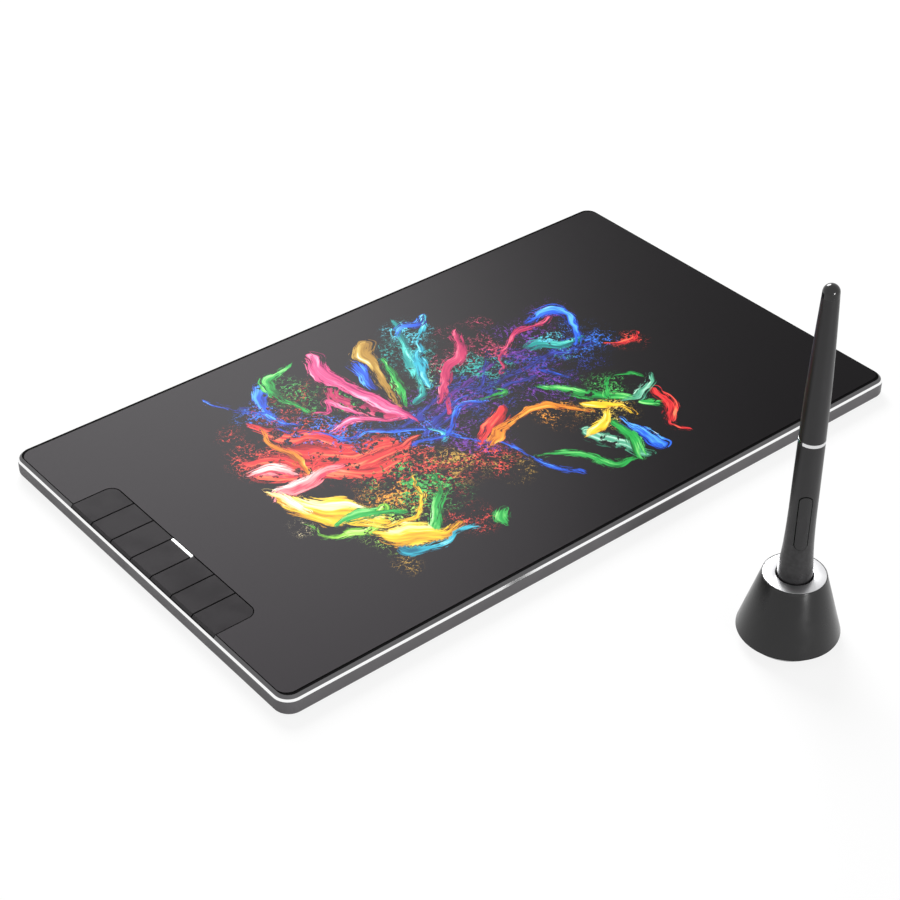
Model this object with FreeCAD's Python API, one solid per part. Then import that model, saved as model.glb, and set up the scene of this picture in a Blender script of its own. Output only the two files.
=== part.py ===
"""Pen drawing tablet with six express keys, its stylus and the weighted stand that holds it.

Millimetres. +Z up, the desk is the plane z = 0. The pieces are built about the middle of the tablet, and
save() then moves the whole set so that the origin is on the desk under the middle of the set's outline.
+X runs along the tablet's long side, from the key strip on the left to the right edge. +Y points away
from the user. Each function builds one piece, and the call to save() beside it names its node.
"""

import FreeCAD
import Part

import math
import os

V = FreeCAD.Vector
UP = V(0, 0, 1)
TURN = 360.0
NODES = {}

# ------------------------------------------------------------------ driving dimensions
# Case of the tablet
CASE_LENGTH = 328.0
CASE_WIDTH = 196.0
CASE_CORNER = 7.0  # plan radius of the outer wall
FOOT_PROUD = 0.6  # how far the rubber feet stand out of the underside
FLOOR_THICK = 1.4
SIDE_WALL = 1.8
UNDER_ROUND = 1.6  # rounding between the underside and the wall
CASE_INSIDE = 6.8  # from the floor's top face to the drawing sheet's underside
FIT_GAP = 0.1  # clearance between pieces that are located in each other
# Metal frame round the top
SEAM_DROP = 0.6  # from the seam with the bottom cover up to the polished edge
EDGE_CHAMFER = 0.7  # the polished edge
BEVEL_WIDTH = 1.15  # the plain bevel above it
BEVEL_RISE = 1.15
LIP_THICK = 1.0
LIP_DEPTH = 0.9
LEDGE_WIDTH = 3.4
LEDGE_THICK = 1.2
# Top plate and drawing sheet
SHEET_THICK = 0.5
SHEET_PROUD = 0.1  # the sheet's face above the frame's inner edge
PLATE_THICK = 1.2
SIDE_SHOULDER = 1.35  # plate's black rim between the sheet and the frame, along the long sides
END_SHOULDER = 0.3
SHOULDER_DROP = 0.2  # the rim's top below the sheet's face
# Key strip
KEY_PITCH = 14.45
KEY_COUNT = 7  # six keys and the plain middle panel
END_KEY_EXTRA = 0.85  # the two end keys are this much longer
KEY_GAP = 0.5
STRIP_EDGE = 1.05  # from the case's left side to the keys
STRIP_LENGTH_X = 20.3
STRIP_CORNER = 4.4
RIM_GAP = 0.25
STRIP_GAP = 0.3
KEY_BELOW_SHEET = 0.05
CAP_THICK = 1.85
KEY_TRAVEL = 0.45
TRAVEL_SPARE = 0.05
CAP_EDGE_ROUND = 0.2
LIGHT_BAR_WIDTH = 1.1
LIGHT_BAR_GAP = 0.15
# Boards and what is on them
SENSOR_FROM_KEY_END = 40.0  # margins of the sensor board from the case's sides
SENSOR_FROM_PLAIN_END = 24.0
SENSOR_FROM_LONG_SIDE = 18.0
SENSOR_THICK = 0.8
SHIELD_THICK = 0.2
SHIELD_INSET = 6.0
BOARD_THICK = 1.0
BOARD_FROM_KEY_END = 30.0
BOARD_FROM_REAR = 7.0
BOARD_LENGTH = 46.0
BOARD_WIDTH = 47.0
RIBBON_THICK = 0.2
RIB_FROM_KEY_END = 94.0  # first of the cross ribs in the tray
RIB_PITCH = 68.0
LONG_RIB_FROM_SIDES = (46.0, 68.0)  # from the front and from the rear
PAD_SIDE = 22.0
PAD_FROM_SIDES = (78.0, 38.0)
# Screws that close the case
CASE_SCREW_COLUMNS = 4
CASE_SCREW_FROM_END = 14.0
CASE_SCREW_FROM_LONG_SIDE = 11.0
SCREW_RADIUS = 0.95
SCREW_HEAD_RADIUS = 1.9
SCREW_HEAD_THICK = 1.3
SCREW_CLEARANCE = 0.15
SEAT_THICK = 1.4
BOSS_RADIUS = 3.0
# Rubber feet
FOOT_LENGTH = 40.0
FOOT_WIDTH = 8.0
FOOT_THICK = 1.3
FOOT_FROM_END = 64.0
FOOT_FROM_LONG_SIDE = 14.0
# USB-C receptacle
PORT_FROM_KEY_END = 54.0
PORT_Z = 4.0
PORT_WIDTH = 8.94
PORT_HEIGHT = 3.16
PORT_LENGTH = 7.3
PORT_SHELL = 0.3
PORT_RECESS = 0.8
# Stylus
PEN_LENGTH = 152.0
PEN_WALL = 1.1
PEN_NOSE_LENGTH = 14.0
PEN_RING_Z = 87.0
PEN_RING_LENGTH = 1.3
PEN_CAP_LENGTH = 5.0
NIB_RADIUS = 0.8
NIB_LENGTH = 17.0
NIB_PROUD = 1.8
NIB_TRAVEL = 0.4
ROCKER_Z = 53.4  # middle of the side switch, from the nib's tip
ROCKER_LENGTH = 23.8
ROCKER_WIDTH = 4.6
ROCKER_GAP = 0.3
ROCKER_PIVOT_OUT = 3.0
PIN_RADIUS = 0.6
PEN_TURN = -43.0  # direction that the side switch faces, degrees from -Y
# Stand
STAND_X = 11.5
STAND_Y = -180.0
STAND_HEIGHT = 30.4
STAND_RADIUS = 19.75
STAND_TOP_RADIUS = 12.25
STAND_WALL = 1.8
FOOT_CHAMFER_HEIGHT = 4.3
FOOT_CHAMFER_WIDTH = 4.05
PEN_DEPTH = 26.0  # from the stand's top face down to the nib's tip
SOCKET_GAP = 0.3
SOCKET_WALL = 1.3
PAD_MARGIN = 1.2  # from the pad's edge to the edge of the base's underside
PAD_THICK = 1.0
PAD_PROUD = 0.25
SPARE_NIBS = 8
SPARE_NIB_LENGTH = 10.0
TRAY_GAP = 0.5  # from the nib tray to the plug ring round it
TRAY_RIM = 2.2  # from the circle of spare nibs to the tray's edge

# ------------------------------------------------------------------ heights worked out from them
FLOOR_UNDER = FOOT_PROUD
FLOOR_TOP = FLOOR_UNDER + FLOOR_THICK
PLATE_TOP = FLOOR_TOP + CASE_INSIDE
PLATE_UNDER = PLATE_TOP - PLATE_THICK
SHEET_TOP = PLATE_TOP + SHEET_THICK
FRAME_TOP = SHEET_TOP - SHEET_PROUD
CHAMFER_TOP = FRAME_TOP - BEVEL_RISE
CHAMFER_FOOT = CHAMFER_TOP - EDGE_CHAMFER
SEAM_Z = CHAMFER_FOOT - SEAM_DROP
BEVEL_INSET = EDGE_CHAMFER + BEVEL_WIDTH
LEDGE_INSET = BEVEL_INSET + LEDGE_WIDTH
LEFT = -CASE_LENGTH / 2
RIGHT = CASE_LENGTH / 2
REAR = CASE_WIDTH / 2
SET_SHIFT = (STAND_RADIUS - STAND_Y - REAR) / 2  # brings the middle of tablet and stand over the origin


# ------------------------------------------------------------------ helpers
def save(name, *solids):
    """Writes one node, holding one solid or a group of separate ones, in the frame of the whole set."""
    shape = solids[0] if len(solids) == 1 else Part.makeCompound(list(solids))
    shape = shape.translated(V(0, SET_SHIFT, 0))
    NODES[name] = shape
    shape.exportStep("parts/" + name + ".step")


def rounded_wire(x0, x1, y0, y1, radius, z):
    """Rounded rectangle between two corners, at height z."""
    low = radius * (1 - math.sqrt(0.5))
    points = [
        (V(x0 + radius, y0, z), V(x1 - radius, y0, z), V(x1 - low, y0 + low, z)),
        (V(x1, y0 + radius, z), V(x1, y1 - radius, z), V(x1 - low, y1 - low, z)),
        (V(x1 - radius, y1, z), V(x0 + radius, y1, z), V(x0 + low, y1 - low, z)),
        (V(x0, y1 - radius, z), V(x0, y0 + radius, z), V(x0 + low, y0 + low, z)),
    ]
    edges = []
    for side, (start, end, corner) in enumerate(points):
        following = points[(side + 1) % len(points)][0]
        edges.append(Part.LineSegment(start, end).toShape())
        edges.append(Part.Arc(end, corner, following).toShape())
    return Part.Wire(edges)


def rounded_box(x0, x1, y0, y1, z0, z1, radius):
    """Upright block with a rounded-rectangle plan."""
    wire = rounded_wire(x0, x1, y0, y1, radius, z0)
    return Part.Face(wire).extrude(V(0, 0, z1 - z0))


def case_wire(inset, z):
    """The case's outline, drawn in by inset, at height z."""
    half_x = CASE_LENGTH / 2 - inset
    half_y = CASE_WIDTH / 2 - inset
    return rounded_wire(-half_x, half_x, -half_y, half_y, CASE_CORNER - inset, z)


def case_block(inset, z0, z1):
    """Block with the case's outline drawn in by inset."""
    return Part.Face(case_wire(inset, z0)).extrude(V(0, 0, z1 - z0))


def bevelled_block(drop):
    """Block whose top edge is bevelled as the frame is, up to the sheet's face, all lowered by drop."""
    top_inset = BEVEL_INSET + SHEET_PROUD * BEVEL_WIDTH / BEVEL_RISE
    low = case_wire(EDGE_CHAMFER, CHAMFER_TOP - drop)
    high = case_wire(top_inset, SHEET_TOP - drop)
    rim = Part.makeLoft([low, high], True, True)
    return case_block(EDGE_CHAMFER, 0, CHAMFER_TOP - drop).fuse(rim)


def sheet_block(grow, z0, z1):
    """Block with the drawing sheet's outline, grown all round."""
    half_x = CASE_LENGTH / 2 - BEVEL_INSET - END_SHOULDER + grow
    half_y = CASE_WIDTH / 2 - BEVEL_INSET - SIDE_SHOULDER + grow
    return rounded_box(-half_x, half_x, -half_y, half_y, z0, z1, CASE_CORNER - BEVEL_INSET + grow)


def box(x0, x1, y0, y1, z0, z1):
    return Part.makeBox(x1 - x0, y1 - y0, z1 - z0, V(x0, y0, z0))


def centred_box(x, y, length, width, z0, z1):
    return box(x - length / 2, x + length / 2, y - width / 2, y + width / 2, z0, z1)


def post(x, y, radius, z0, z1):
    return Part.makeCylinder(radius, z1 - z0, V(x, y, z0))


def tube(x, y, outer, inner, z0, z1):
    return post(x, y, outer, z0, z1).cut(post(x, y, inner, z0, z1))


def turned(points):
    """Solid of revolution about Z from a closed outline of (radius, z) points."""
    loop = [V(r, 0, z) for r, z in points]
    face = Part.Face(Part.makePolygon(loop + loop[:1]))
    return face.revolve(V(0, 0, 0), UP, TURN)


def pan_screw(
    x, y, seat_z, tip_z, radius=SCREW_RADIUS, head_radius=SCREW_HEAD_RADIUS, head=SCREW_HEAD_THICK
):
    """Pan-head screw with a cross recess: the head lies on the far side of seat_z from the tip."""
    way = 1 if tip_z > seat_z else -1
    z_head = seat_z - way * head
    low, high = sorted((z_head, seat_z))
    body = post(x, y, head_radius, low, high)
    low, high = sorted((seat_z, tip_z))
    body = body.fuse(post(x, y, radius, low, high))
    slot = 0.5
    arm = head_radius * 1.1
    depth = head * 0.5
    low, high = sorted((z_head, z_head + way * depth))
    cross = centred_box(x, y, arm, slot, low, high).fuse(centred_box(x, y, slot, arm, low, high))
    return body.cut(cross)


# ------------------------------------------------------------------ the key strip's layout
def strip_cells():
    """(low y, high y) of each cell of the strip, from the front of the tablet to its rear."""
    cells = []
    for n in range(KEY_COUNT):
        middle = (n - (KEY_COUNT - 1) / 2) * KEY_PITCH
        low = middle - KEY_PITCH / 2
        high = middle + KEY_PITCH / 2
        if n == 0:
            low -= END_KEY_EXTRA
        if n == KEY_COUNT - 1:
            high += END_KEY_EXTRA
        cells.append((low + KEY_GAP / 2, high - KEY_GAP / 2))
    return cells


CELLS = strip_cells()
STRIP_X0 = LEFT + STRIP_EDGE
STRIP_X1 = STRIP_X0 + STRIP_LENGTH_X
STRIP_Y = CELLS[-1][1]
STRIP_MID_X = (STRIP_X0 + STRIP_X1) / 2
MIDDLE_CELL = KEY_COUNT // 2
CAP_TOP = SHEET_TOP - KEY_BELOW_SHEET
CAP_UNDER = CAP_TOP - CAP_THICK
CARRIER_THICK = 0.8
CAP_BOSS = 0.5  # stub under each cap that bears on its switch
PLUNGER_TOP = CAP_UNDER - CAP_BOSS
CARRIER_TOP = PLUNGER_TOP
CARRIER_UNDER = CARRIER_TOP - CARRIER_THICK
BARB_THICK = 0.45
BARB_TOP = CARRIER_UNDER - TRAVEL_SPARE
KEY_BOARD_TOP = BARB_TOP - BARB_THICK - KEY_TRAVEL - 0.15
KEY_BOARD_UNDER = KEY_BOARD_TOP - BOARD_THICK
CARRIER_WALL = 1.1
CARRIER_X0 = LEFT + SIDE_WALL + FIT_GAP
CARRIER_X1 = STRIP_X1 + 2.5
CARRIER_Y = STRIP_Y + STRIP_GAP + CARRIER_WALL
EAR_Y = CARRIER_Y + 3.6
EAR_X = STRIP_MID_X + 2.3
LEG_X = (STRIP_MID_X - 6.6, STRIP_MID_X + 6.6)
LEG_LENGTH = 1.0  # along X
LEG_WIDTH = 2.0  # along Y
LEG_CLEARANCE = 0.25
SWITCH_SIDE = 4.6
PLUNGER_RADIUS = 1.0
PLUNGER_GAP = 0.05
SWITCH_TOP = PLUNGER_TOP - KEY_TRAVEL
LED_TOP = KEY_BOARD_TOP + 0.6
LED_SIZE = (0.8, 1.6)


def strip_block(grow, z0, z1):
    """The strip's plan, grown all round: square at the case's side, rounded at its two inner corners."""
    radius = STRIP_CORNER + grow
    full = rounded_box(
        STRIP_X0 - 3 * radius, STRIP_X1 + grow, -STRIP_Y - grow, STRIP_Y + grow, z0, z1, radius
    )
    return full.cut(box(STRIP_X0 - 4 * radius, STRIP_X0 - grow, -REAR, REAR, z0 - 1, z1 + 1))


def cap_shell(cell, x1=STRIP_X1):
    """Cap of one cell: flat, bevelled with the frame at its outer end, its upper edges lightly rounded."""
    low, high = cell
    cap = box(STRIP_X0, x1, low, high, CAP_UNDER, CAP_TOP).common(strip_block(0, CAP_UNDER - 1, CAP_TOP + 1))
    cap = cap.common(bevelled_block(KEY_BELOW_SHEET)).removeSplitter()
    lowest = CHAMFER_TOP - KEY_BELOW_SHEET
    rim = [e for e in cap.Edges if e.BoundBox.ZMin > lowest]
    return cap.makeFillet(CAP_EDGE_ROUND, rim)


def key_cap(cell):
    """Moulded cap with the stub that presses its switch and two hooked legs that hold it in the carrier."""
    low, high = cell
    y = (low + high) / 2
    cap = cap_shell(cell)
    cap = cap.fuse(post(STRIP_MID_X, y, 1.3, PLUNGER_TOP, CAP_UNDER))
    for x, outward in zip(LEG_X, (-1, 1)):
        leg = centred_box(x, y, LEG_LENGTH, LEG_WIDTH, BARB_TOP - BARB_THICK, CAP_UNDER)
        barb = centred_box(x + outward * 0.5, y, LEG_LENGTH, LEG_WIDTH, BARB_TOP - BARB_THICK, BARB_TOP)
        cap = cap.fuse(leg).fuse(barb)
    return cap.removeSplitter()


def middle_panel():
    """Plain fixed panel in the middle of the strip, with two legs bonded into the carrier."""
    low, high = CELLS[MIDDLE_CELL]
    y = (low + high) / 2
    panel = cap_shell((low, high), STRIP_X1 - LIGHT_BAR_WIDTH - LIGHT_BAR_GAP)
    for x in (LEG_X[0], LEG_X[1] - 2.0):
        panel = panel.fuse(centred_box(x, y, LEG_LENGTH, LEG_WIDTH, CARRIER_UNDER, CAP_UNDER))
    return panel.removeSplitter()


def light_bar():
    """Clear light guide that carries the status lamp's light up to the face."""
    low, high = CELLS[MIDDLE_CELL]
    return box(STRIP_X1 - LIGHT_BAR_WIDTH, STRIP_X1, low, high, LED_TOP + 0.2, CAP_TOP)


def key_carrier():
    """Plate under the keys, with switch windows, slots for the caps' legs and a wall up to the top plate."""
    block = box(CARRIER_X0, CARRIER_X1, -CARRIER_Y, CARRIER_Y, CARRIER_UNDER, PLATE_UNDER)
    inner = box(
        CARRIER_X0 - 1,
        CARRIER_X1 - CARRIER_WALL,
        -CARRIER_Y + CARRIER_WALL,
        CARRIER_Y - CARRIER_WALL,
        CARRIER_TOP,
        PLATE_UNDER + 1,
    )
    block = block.cut(inner)
    for side in (-1, 1):
        ear = centred_box(EAR_X, side * (EAR_Y - 1.0), 8.0, 9.2, CARRIER_UNDER, CARRIER_TOP)
        ear = ear.fuse(post(EAR_X, side * EAR_Y, 2.2, KEY_BOARD_TOP, CARRIER_UNDER))
        block = block.fuse(ear)
        block = block.cut(post(EAR_X, side * EAR_Y, SCREW_RADIUS + SCREW_CLEARANCE, 0, 10))
    for n, (low, high) in enumerate(CELLS):
        y = (low + high) / 2
        clear = 2 * LEG_CLEARANCE
        if n == MIDDLE_CELL:
            slot_x = (LEG_X[0], LEG_X[1] - 2.0)
            clear = 2 * FIT_GAP
            bar = LIGHT_BAR_WIDTH + 2 * FIT_GAP
            bar_x = STRIP_X1 - LIGHT_BAR_WIDTH / 2
            block = block.cut(centred_box(bar_x, y, bar, high - low + 2 * FIT_GAP, 0, CARRIER_TOP + 0.1))
        else:
            slot_x = LEG_X
            window = SWITCH_SIDE + 2 * LEG_CLEARANCE
            block = block.cut(centred_box(STRIP_MID_X, y, window, window, 0, CARRIER_TOP + 0.1))
        for x in slot_x:
            block = block.cut(centred_box(x, y, LEG_LENGTH + clear, LEG_WIDTH + clear, 0, CARRIER_TOP + 0.1))
    return block.removeSplitter()


def key_board():
    """Circuit board that carries the six switches and the status lamp."""
    board = box(CARRIER_X0 + 0.9, STRIP_X1 + 2.2, -EAR_Y - 3.4, EAR_Y + 3.4, KEY_BOARD_UNDER, KEY_BOARD_TOP)
    for side in (-1, 1):
        board = board.cut(post(EAR_X, side * EAR_Y, SCREW_RADIUS + SCREW_CLEARANCE, 0, 10))
    return board


def tact_switch(cell):
    """Square switch body, hollow under its plunger."""
    y = sum(cell) / 2
    body = centred_box(STRIP_MID_X, y, SWITCH_SIDE, SWITCH_SIDE, KEY_BOARD_TOP, SWITCH_TOP)
    well = post(STRIP_MID_X, y, PLUNGER_RADIUS + PLUNGER_GAP, KEY_BOARD_TOP + 0.3, SWITCH_TOP + 1)
    return body.cut(well)


def switch_plunger(cell):
    """Round plunger under the key's stub, down in the switch by more than the key's travel."""
    y = sum(cell) / 2
    return post(STRIP_MID_X, y, PLUNGER_RADIUS, SWITCH_TOP - 0.35, PLUNGER_TOP)


# ------------------------------------------------------------------ case
def screw_places():
    """Centres of the case screws: two rows, evenly spaced between the ends."""
    row = REAR - CASE_SCREW_FROM_LONG_SIDE
    first = LEFT + CASE_SCREW_FROM_END
    pitch = -2 * first / (CASE_SCREW_COLUMNS - 1)
    return [(first + n * pitch, side * row) for n in range(CASE_SCREW_COLUMNS) for side in (-1, 1)]


def foot_places():
    x = RIGHT - FOOT_FROM_END
    y = REAR - FOOT_FROM_LONG_SIDE
    return [(-x, -y), (-x, y), (x, -y), (x, y)]


def rib_places():
    """Places along X of the tray's cross ribs."""
    count = int((CASE_LENGTH - RIB_FROM_KEY_END - 2 * CASE_SCREW_FROM_END) // RIB_PITCH) + 1
    return [LEFT + RIB_FROM_KEY_END + n * RIB_PITCH for n in range(count)]


SEAT_Z = FLOOR_UNDER + 1.6  # where a case screw's head bears
SEAT_TOP = SEAT_Z + SEAT_THICK
BOARD_Z0 = FLOOR_TOP + 1.4  # underside of the main board
BOARD_Z1 = BOARD_Z0 + BOARD_THICK
BOARD_X0 = LEFT + BOARD_FROM_KEY_END
BOARD_X1 = BOARD_X0 + BOARD_LENGTH
BOARD_Y1 = REAR - BOARD_FROM_REAR
BOARD_Y0 = BOARD_Y1 - BOARD_WIDTH
POST_X = (BOARD_X0 + 3.5, BOARD_X1 - 3.5)
POST_Y = (BOARD_Y0 + 4.0, BOARD_Y1 - 4.0)
BOARD_POSTS = ((POST_X[0], POST_Y[1]), (POST_X[1], POST_Y[1]), (POST_X[1], POST_Y[0]))
PORT_X = LEFT + PORT_FROM_KEY_END
RIB_THICK = 1.2
RIB_HEIGHT = 1.2
LONG_RIB_Y = (LONG_RIB_FROM_SIDES[0] - REAR, REAR - LONG_RIB_FROM_SIDES[1])
PAD_Y = (PAD_FROM_SIDES[0] - REAR, REAR - PAD_FROM_SIDES[1])


def port_outline(grow, y0, y1):
    """Stadium-section block along Y for the receptacle, grown all round."""
    half_w = PORT_WIDTH / 2 + grow
    half_h = PORT_HEIGHT / 2 + grow
    flat = half_w - half_h
    start = V(PORT_X - flat, y0, PORT_Z + half_h)
    top = V(PORT_X + flat, y0, PORT_Z + half_h)
    low_right = V(PORT_X + flat, y0, PORT_Z - half_h)
    low_left = V(PORT_X - flat, y0, PORT_Z - half_h)
    edges = [
        Part.LineSegment(start, top).toShape(),
        Part.Arc(top, V(PORT_X + half_w, y0, PORT_Z), low_right).toShape(),
        Part.LineSegment(low_right, low_left).toShape(),
        Part.Arc(low_left, V(PORT_X - half_w, y0, PORT_Z), start).toShape(),
    ]
    return Part.Face(Part.Wire(edges)).extrude(V(0, y1 - y0, 0))


def bottom_cover():
    """Tray that closes the case from below, with screw seats, board posts and stiffening ribs."""
    outer = case_block(0, FLOOR_UNDER, SEAM_Z)
    rim = [e for e in outer.Edges if e.BoundBox.ZMax < FLOOR_UNDER + 0.01]
    cover = outer.makeFillet(UNDER_ROUND, rim)
    cover = cover.cut(case_block(SIDE_WALL, FLOOR_TOP, SEAM_Z + 1))
    span = CASE_WIDTH - 2 * SIDE_WALL
    rib_top = FLOOR_TOP + RIB_HEIGHT
    ribs = [centred_box(x, 0, RIB_THICK, span, FLOOR_TOP, rib_top) for x in rib_places()]
    rib_x0 = CARRIER_X1 + 4.0
    rib_x1 = -LEFT - SIDE_WALL
    ribs += [box(rib_x0, rib_x1, y, y + RIB_THICK, FLOOR_TOP, rib_top) for y in LONG_RIB_Y]
    cover = cover.fuse(ribs)
    posts = [post(x, y, 2.2, FLOOR_TOP, BOARD_Z0) for x, y in BOARD_POSTS]
    posts += [post(EAR_X, side * EAR_Y, 2.4, FLOOR_TOP, KEY_BOARD_UNDER) for side in (-1, 1)]
    cover = cover.fuse(posts)
    for x, y in screw_places():
        cover = cover.fuse(post(x, y, BOSS_RADIUS + 0.6, FLOOR_TOP, SEAT_TOP))
        cover = cover.cut(post(x, y, SCREW_HEAD_RADIUS + SCREW_CLEARANCE, 0, SEAT_Z))
        cover = cover.cut(post(x, y, SCREW_RADIUS + SCREW_CLEARANCE, 0, SEAT_TOP + 1))
    for x, y in BOARD_POSTS:
        cover = cover.cut(post(x, y, SCREW_RADIUS + 0.02, FLOOR_TOP - 0.4, BOARD_Z0 + 1))
    for side in (-1, 1):
        hole = post(EAR_X, side * EAR_Y, SCREW_RADIUS + 0.02, FLOOR_TOP - 0.4, KEY_BOARD_UNDER + 1)
        cover = cover.cut(hole)
    for x, y in foot_places():
        cover = cover.cut(foot_block(x, y, FIT_GAP, 0, FOOT_THICK))
    return cover.cut(port_outline(0.25, REAR - 6, REAR + 1)).removeSplitter()


def foot_block(x, y, grow, z0, z1):
    half_x = FOOT_LENGTH / 2 + grow
    half_y = FOOT_WIDTH / 2 + grow
    return rounded_box(x - half_x, x + half_x, y - half_y, y + half_y, z0, z1, half_y - 0.05)


def rubber_foot(x, y):
    """Soft bar set in its recess, with its lower edge rounded."""
    foot = foot_block(x, y, 0, 0, FOOT_THICK)
    rim = [e for e in foot.Edges if e.BoundBox.ZMax < 0.01]
    return foot.makeFillet(FOOT_PROUD / 2, rim)


def metal_frame():
    """Aluminium band: plain wall, polished edge, bevel, and inside it a ledge that carries the top plate."""
    wires = [
        case_wire(0, SEAM_Z),
        case_wire(0, CHAMFER_FOOT),
        case_wire(EDGE_CHAMFER, CHAMFER_TOP),
        case_wire(BEVEL_INSET, FRAME_TOP),
    ]
    band = Part.makeLoft(wires, True, True)
    ledge_under = PLATE_UNDER - LEDGE_THICK
    lip_inset = SIDE_WALL + FIT_GAP
    band = band.fuse(case_block(lip_inset, ledge_under, SEAM_Z + 0.2))
    band = band.fuse(case_block(lip_inset, SEAM_Z - LIP_DEPTH, ledge_under + 0.2))
    band = band.cut(case_block(BEVEL_INSET, PLATE_UNDER, SHEET_TOP + 1))
    band = band.cut(case_block(LEDGE_INSET, 0, SHEET_TOP + 1))
    band = band.cut(case_block(lip_inset + LIP_THICK, 0, ledge_under))
    notch_x = LEFT + STRIP_EDGE - RIM_GAP
    notch_y = STRIP_Y + STRIP_GAP
    band = band.cut(box(notch_x, LEFT + 20, -notch_y, notch_y, SEAM_Z, SHEET_TOP + 1))
    low_x = LEFT + SIDE_WALL - 0.5
    half_y = CARRIER_Y + FIT_GAP
    return band.cut(box(low_x, LEFT + 20, -half_y, half_y, 0, PLATE_UNDER)).removeSplitter()


def top_plate():
    """Stiff plate, recessed for the drawing sheet, open at the key strip, with a boss for each screw."""
    plate = case_block(BEVEL_INSET + FIT_GAP, PLATE_UNDER, SHEET_TOP - SHOULDER_DROP)
    plate = plate.cut(sheet_block(FIT_GAP, PLATE_TOP, SHEET_TOP))
    plate = plate.cut(strip_block(STRIP_GAP, 0, SHEET_TOP))
    plate = plate.cut(box(LEFT, STRIP_X0 + 1, -STRIP_Y - STRIP_GAP, STRIP_Y + STRIP_GAP, 0, SHEET_TOP))
    for x, y in screw_places():
        plate = plate.fuse(post(x, y, BOSS_RADIUS, SEAT_TOP, PLATE_UNDER + 0.1))
        plate = plate.cut(post(x, y, SCREW_RADIUS + 0.02, 0, PLATE_UNDER - 0.2))
    return plate.removeSplitter()


def drawing_sheet():
    """Matte film bonded into the top plate's recess, a little proud of the frame."""
    sheet = sheet_block(0, PLATE_TOP, SHEET_TOP)
    sheet = sheet.cut(strip_block(STRIP_GAP, 0, SHEET_TOP + 1))
    return sheet.cut(box(LEFT, STRIP_X0 + 1, -STRIP_Y - STRIP_GAP, STRIP_Y + STRIP_GAP, 0, SHEET_TOP + 1))


# ------------------------------------------------------------------ electronics
SENSOR_UNDER = PLATE_UNDER - SENSOR_THICK
SHIELD_UNDER = SENSOR_UNDER - SHIELD_THICK
SENSOR_X0 = LEFT + SENSOR_FROM_KEY_END
SENSOR_X1 = RIGHT - SENSOR_FROM_PLAIN_END
SENSOR_Y = REAR - SENSOR_FROM_LONG_SIDE
CONNECTOR_HEIGHT = 1.0
RIBBON_Y = (BOARD_Y0 + 8.0, BOARD_Y0 + 20.0)
KEY_RIBBON_Y = (BOARD_Y0 + 2.5, BOARD_Y0 + 6.5)


def sensor_board():
    """Coil board that finds the pen, bonded under the top plate."""
    return rounded_box(SENSOR_X0, SENSOR_X1, -SENSOR_Y, SENSOR_Y, SENSOR_UNDER, PLATE_UNDER, 2.0)


def sensor_shield():
    """Thin steel sheet bonded under the sensor board."""
    half = SENSOR_Y - 1.0
    x0 = SENSOR_X0 + SHIELD_INSET
    return rounded_box(x0, SENSOR_X1 - 1.0, -half, half, SHIELD_UNDER, SENSOR_UNDER, 1.0)


def support_pads():
    """Foam blocks that press the sensor board up against the plate."""
    half_pitch = RIB_PITCH / 2
    places = [(x + half_pitch, y) for x in rib_places()[:-1] for y in PAD_Y]
    places.append((rib_places()[0] - half_pitch, PAD_Y[0]))
    return [centred_box(x, y, PAD_SIDE, PAD_SIDE, FLOOR_TOP, SHIELD_UNDER) for x, y in places]


def main_board():
    """Controller board on three posts, cut out at its rear edge for the receptacle."""
    board = box(BOARD_X0, BOARD_X1, BOARD_Y0, BOARD_Y1, BOARD_Z0, BOARD_Z1)
    for x, y in BOARD_POSTS:
        board = board.cut(post(x, y, SCREW_RADIUS + SCREW_CLEARANCE, 0, 10))
    port_y = REAR - PORT_RECESS - PORT_LENGTH
    return board.cut(centred_box(PORT_X, BOARD_Y1, PORT_WIDTH, 2 * (BOARD_Y1 - port_y), 0, 10))


def board_chips():
    """Controller, memory, crystal and regulator."""
    chips = (  # place from the board's corner, length, width, height
        (22.0, 24.0, 7.0, 7.0, 0.9),
        (34.0, 26.0, 5.0, 4.0, 0.9),
        (30.0, 16.0, 3.2, 2.5, 0.7),
        (12.0, 38.0, 4.0, 3.0, 1.1),
    )
    return [centred_box(BOARD_X0 + x, BOARD_Y0 + y, a, b, BOARD_Z1, BOARD_Z1 + h) for x, y, a, b, h in chips]


def port_shell():
    """Stadium-section steel shell of the receptacle, closed at its inner end."""
    y1 = REAR - PORT_RECESS
    y0 = y1 - PORT_LENGTH
    return port_outline(0, y0, y1).cut(port_outline(-PORT_SHELL, y0 + PORT_SHELL * 4, y1 + 1))


def port_tongue():
    """Contact tongue that stands out of the receptacle's inner end."""
    y1 = REAR - PORT_RECESS
    y0 = y1 - PORT_LENGTH + PORT_SHELL * 4
    return box(PORT_X - 3.35, PORT_X + 3.35, y0, y1 - 1.2, PORT_Z - 0.35, PORT_Z + 0.35)


CONNECTOR_X = BOARD_X0 + 15.0
KEY_CONNECTOR_X = (STRIP_X1 + 0.2, BOARD_X0 + 4.0)


def ribbon_connectors():
    """Flat-cable connectors: one for the sensor and two for the key board."""
    low, high = RIBBON_Y
    top = BOARD_Z1 + CONNECTOR_HEIGHT
    sensor = centred_box(CONNECTOR_X, (low + high) / 2, 4.0, high - low + 2.0, BOARD_Z1, top)
    low, high = KEY_RIBBON_Y
    width = high - low + 1.6
    y = (low + high) / 2
    on_keys = centred_box(KEY_CONNECTOR_X[0], y, 3.4, width, KEY_BOARD_TOP, KEY_BOARD_TOP + 0.8)
    on_main = centred_box(KEY_CONNECTOR_X[1], y, 4.0, width, BOARD_Z1, top)
    return [sensor, on_keys, on_main]


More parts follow.
